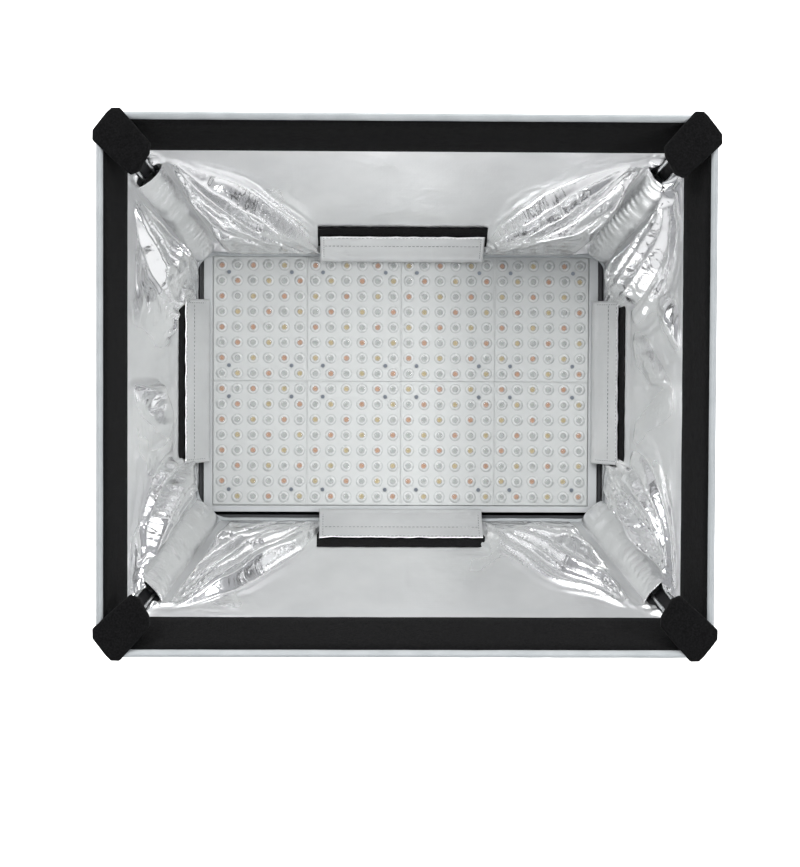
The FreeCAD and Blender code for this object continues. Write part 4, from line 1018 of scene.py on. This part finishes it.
def make_leds(paints):
    """LED packages with round phosphor faces in two whites, and clear ones with three small chips."""
    front, back = (corner[1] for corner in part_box("phosphor_leds"))
    pitch, _ = led_lattice()
    rim = 0.12 * MM
    meshes = {key: ([], []) for key in paints}

    def disc(key, x, z, y, radius, sides, height):
        vertices, faces = meshes[key]
        base = len(vertices)
        for grow, rise in ((1.0, 0.0), (0.92, height)):
            for q in range(sides):
                angle = 2 * math.pi * (q + 0.5) / sides
                vertices.append((x + radius * grow * math.cos(angle), y - rise,
                                 z + radius * grow * math.sin(angle)))
        faces.extend(grid_faces(2, sides, True, base))
        faces.append(tuple(base + sides + q for q in range(sides)))

    for column in range(LED_COLUMNS):
        for row in range(LED_ROWS):
            x = (column - (LED_COLUMNS - 1) / 2) * pitch[0]
            z = AXIS_Z + ((LED_ROWS - 1) / 2 - row) * pitch[1]
            disc("package", x, z, back, LED_SIDE / 2 * math.sqrt(2), 4, back - front - rim)
            face = front + rim
            if (column + row) % 2 == 0:
                flip = 1 if row % 4 in (0, 3) else 0
                warm = (column // 2) % 2 == flip or (column == 0 and row % 4 == 0)
                disc("orange" if warm else "yellow", x, z, face, 2.6 * MM, 20, 0.1 * MM)
            else:
                disc("clear", x, z, face, 2.5 * MM, 20, 0.06 * MM)
                for k in range(3):
                    disc("chips", x + (k - 1) * 0.8 * MM, z, face - 0.06 * MM, 0.3 * MM, 4, 0.05 * MM)
    for key, (vertices, faces) in meshes.items():
        new_object(f"led_{key}", vertices, faces, paints[key], "head", smooth=False)
    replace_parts(bpy.data.objects["led_orange"], "phosphor_leds")
    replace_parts(bpy.data.objects["led_clear"], "colour_leds")


# ---------------- CAD nodes kept in view


def dress():
    """Give each CAD node that stays in view its finished material."""
    matt = moulded_plastic("matt_black_plastic", (0.020, 0.020, 0.021), 0.6, 0.06)
    soft = moulded_plastic("soft_touch", (0.026, 0.026, 0.028), 0.72, 0.08, 0.8)
    zinc = metal("zinc_steel", (0.62, 0.62, 0.63), 0.32)
    anodised = metal("anodised", (0.68, 0.69, 0.70), 0.36, (1, 0.1, 1))
    for material, nodes in (
        (painted_metal("graphite_paint", (0.060, 0.063, 0.067)), "housing_frame rear_cover"),
        (painted_metal("satin_black", (0.020, 0.020, 0.022)), "yoke stand_receiver"),
        (moulded_plastic("pale_plastic", (0.64, 0.66, 0.665), 0.45, 0.05, 0.5), "front_bezel"),
        (solder_mask(), "led_board driver_board"),
        (clear_acrylic(*(part.tolist() for part in led_lattice())), "lens_plates"),
        (metal("blued_screw", (0.30, 0.33, 0.37), 0.4), "lens_screws"),
        (zinc, "case_screws receiver_bolt knob_washers lock_screw"),
        (anodised, "heat_sink trunnions"),
        (metal("turned_brass", (0.75, 0.56, 0.26), 0.3), "clamp_shoe"),
        (matt, "driver_components fan_frame fan_rotor control_panel power_socket"),
        (matt, "friction_washers strut_feet"),
        (soft, "tilt_knob_left tilt_knob_right brightness_knob colour_knob"),
        (moulded_plastic("gloss_black", (0.018, 0.018, 0.019), 0.2, 0.01, 0.6), "power_rocker"),
        (dark_glass(), "display_window"),
        (metal("bright_wire", (0.72, 0.73, 0.74), 0.22, (1, 0.05, 1)), "corner_struts"),
    ):
        for node in nodes.split():
            for slot in frame["nodes"][node].material_slots:
                slot.material = material


# ---------------- stage


def area_light(name, place, target, size, power):
    data = bpy.data.lights.new(name, "AREA")
    data.shape = "RECTANGLE"
    data.size, data.size_y = size
    data.energy = power
    light = bpy.data.objects.new(name, data)
    light.location = place
    light.rotation_euler = (Vector(target) - Vector(place)).to_track_quat("-Z", "Y").to_euler()
    bpy.context.scene.collection.objects.link(light)


def make_stage():
    """A pale seamless floor well below the head, curving up into a backdrop behind it."""
    floor_z, edge, curve_start, backdrop_top = -0.9, 9.0, 1.6, 4.0
    paint = Paint("pale_floor", (0.86, 0.86, 0.86), 0.7)
    paint.bump(paint.noise(30, 2), 0.1 * MM)
    profile = [(-edge, floor_z), (curve_start, floor_z)]
    profile += [(curve_start + math.sin(a), floor_z + 1 - math.cos(a))
                for a in np.linspace(0.1, math.pi / 2, 14)]
    profile += [(curve_start + 1, backdrop_top)]
    vertices = [(x, y, z) for y, z in profile for x in (-edge, edge)]
    mesh = bpy.data.meshes.new("floor")
    mesh.from_pydata(vertices, [], grid_faces(len(profile), 2))
    mesh.materials.append(paint.material)
    floor = bpy.data.objects.new("floor", mesh)
    bpy.context.scene.collection.objects.link(floor)

    world = bpy.data.worlds.new("studio")
    bpy.context.scene.world = world
    world.use_nodes = True
    background = world.node_tree.nodes["Background"]
    background.inputs["Color"].default_value = (0.93, 0.95, 1.0, 1)
    background.inputs["Strength"].default_value = 0.36
    middle = (0, 0, AXIS_Z)
    area_light("key", (-1.5, -2.0, 1.9), middle, (1.3, 0.9), 40)
    area_light("fill", (1.9, -1.9, 0.4), middle, (0.3, 0.8), 20)
    area_light("top", (0.0, -0.8, 2.3), middle, (1.8, 0.8), 17)
    area_light("front", (0.5, -2.6, 1.7), middle, (1.6, 1.0), 22)
    area_light("rear", (0.8, 1.8, 1.6), middle, (1.4, 1.0), 10)
    area_light("backdrop", (0.0, 0.9, 0.5), (0.0, 2.6, 0.3), (3.5, 2.0), 110)


def make_camera():
    """The photograph's view: nearly square on, a little to the left of and above the beam's axis."""
    distance = 2.3
    data = bpy.data.cameras.new("camera")
    data.lens = 108.4
    camera = bpy.data.objects.new("camera", data)
    camera.location = (-0.0557, -distance, AXIS_Z + 0.0460)
    yaw, pitch, roll = math.radians(-1.40), math.radians(-2.31), math.radians(0.27)
    look = Matrix.Rotation(yaw, 3, "Z") @ Matrix.Rotation(math.pi / 2 + pitch, 3, "X")
    camera.rotation_euler = (look @ Matrix.Rotation(roll, 3, "Z")).to_euler()
    bpy.context.scene.collection.objects.link(camera)
    bpy.context.scene.camera = camera


# ---------------- build

bpy.context.scene.view_settings.view_transform = "Standard"
make_camera()
make_stage()
dress()
silver = silver_cloth("silver_cloth")
smooth_silver = silver_cloth("smooth_silver_cloth", 0.5)
pile = pile_cloth()
nylon = black_nylon()
pale_thread = thread("pale_thread", (0.45, 0.47, 0.49))
grey_thread = thread("grey_thread", (0.16, 0.165, 0.17))
hem_fabric = hem_cloth()
make_lining(silver)
make_opening_binding(hem_fabric, pale_thread)
make_shell(nylon)
make_hem(hem_fabric, pale_thread)
make_tapes(pile)
make_corners(smooth_silver, pile, nylon)
make_skirt(elastic_band())
make_piping(nylon)
for number, side in enumerate(SIDES):
    make_flap(side, smooth_silver, pile, grey_thread, number + 1.0)
make_roots(smooth_silver)
slab("flap_loop_tape", "flap_loop_strips", pile, "head", 0.5 * MM, 1.0)
make_leds({
    "package": moulded_plastic("led_package", (0.74, 0.75, 0.74), 0.4, 0.02, 0.1),
    "orange": phosphor("amber_phosphor", (0.92, 0.40, 0.16)),
    "yellow": phosphor("yellow_phosphor", (0.93, 0.68, 0.26)),
    "clear": phosphor("clear_resin", (0.80, 0.82, 0.78)),
    "chips": metal("led_chips", (0.75, 0.75, 0.70), 0.4),
})
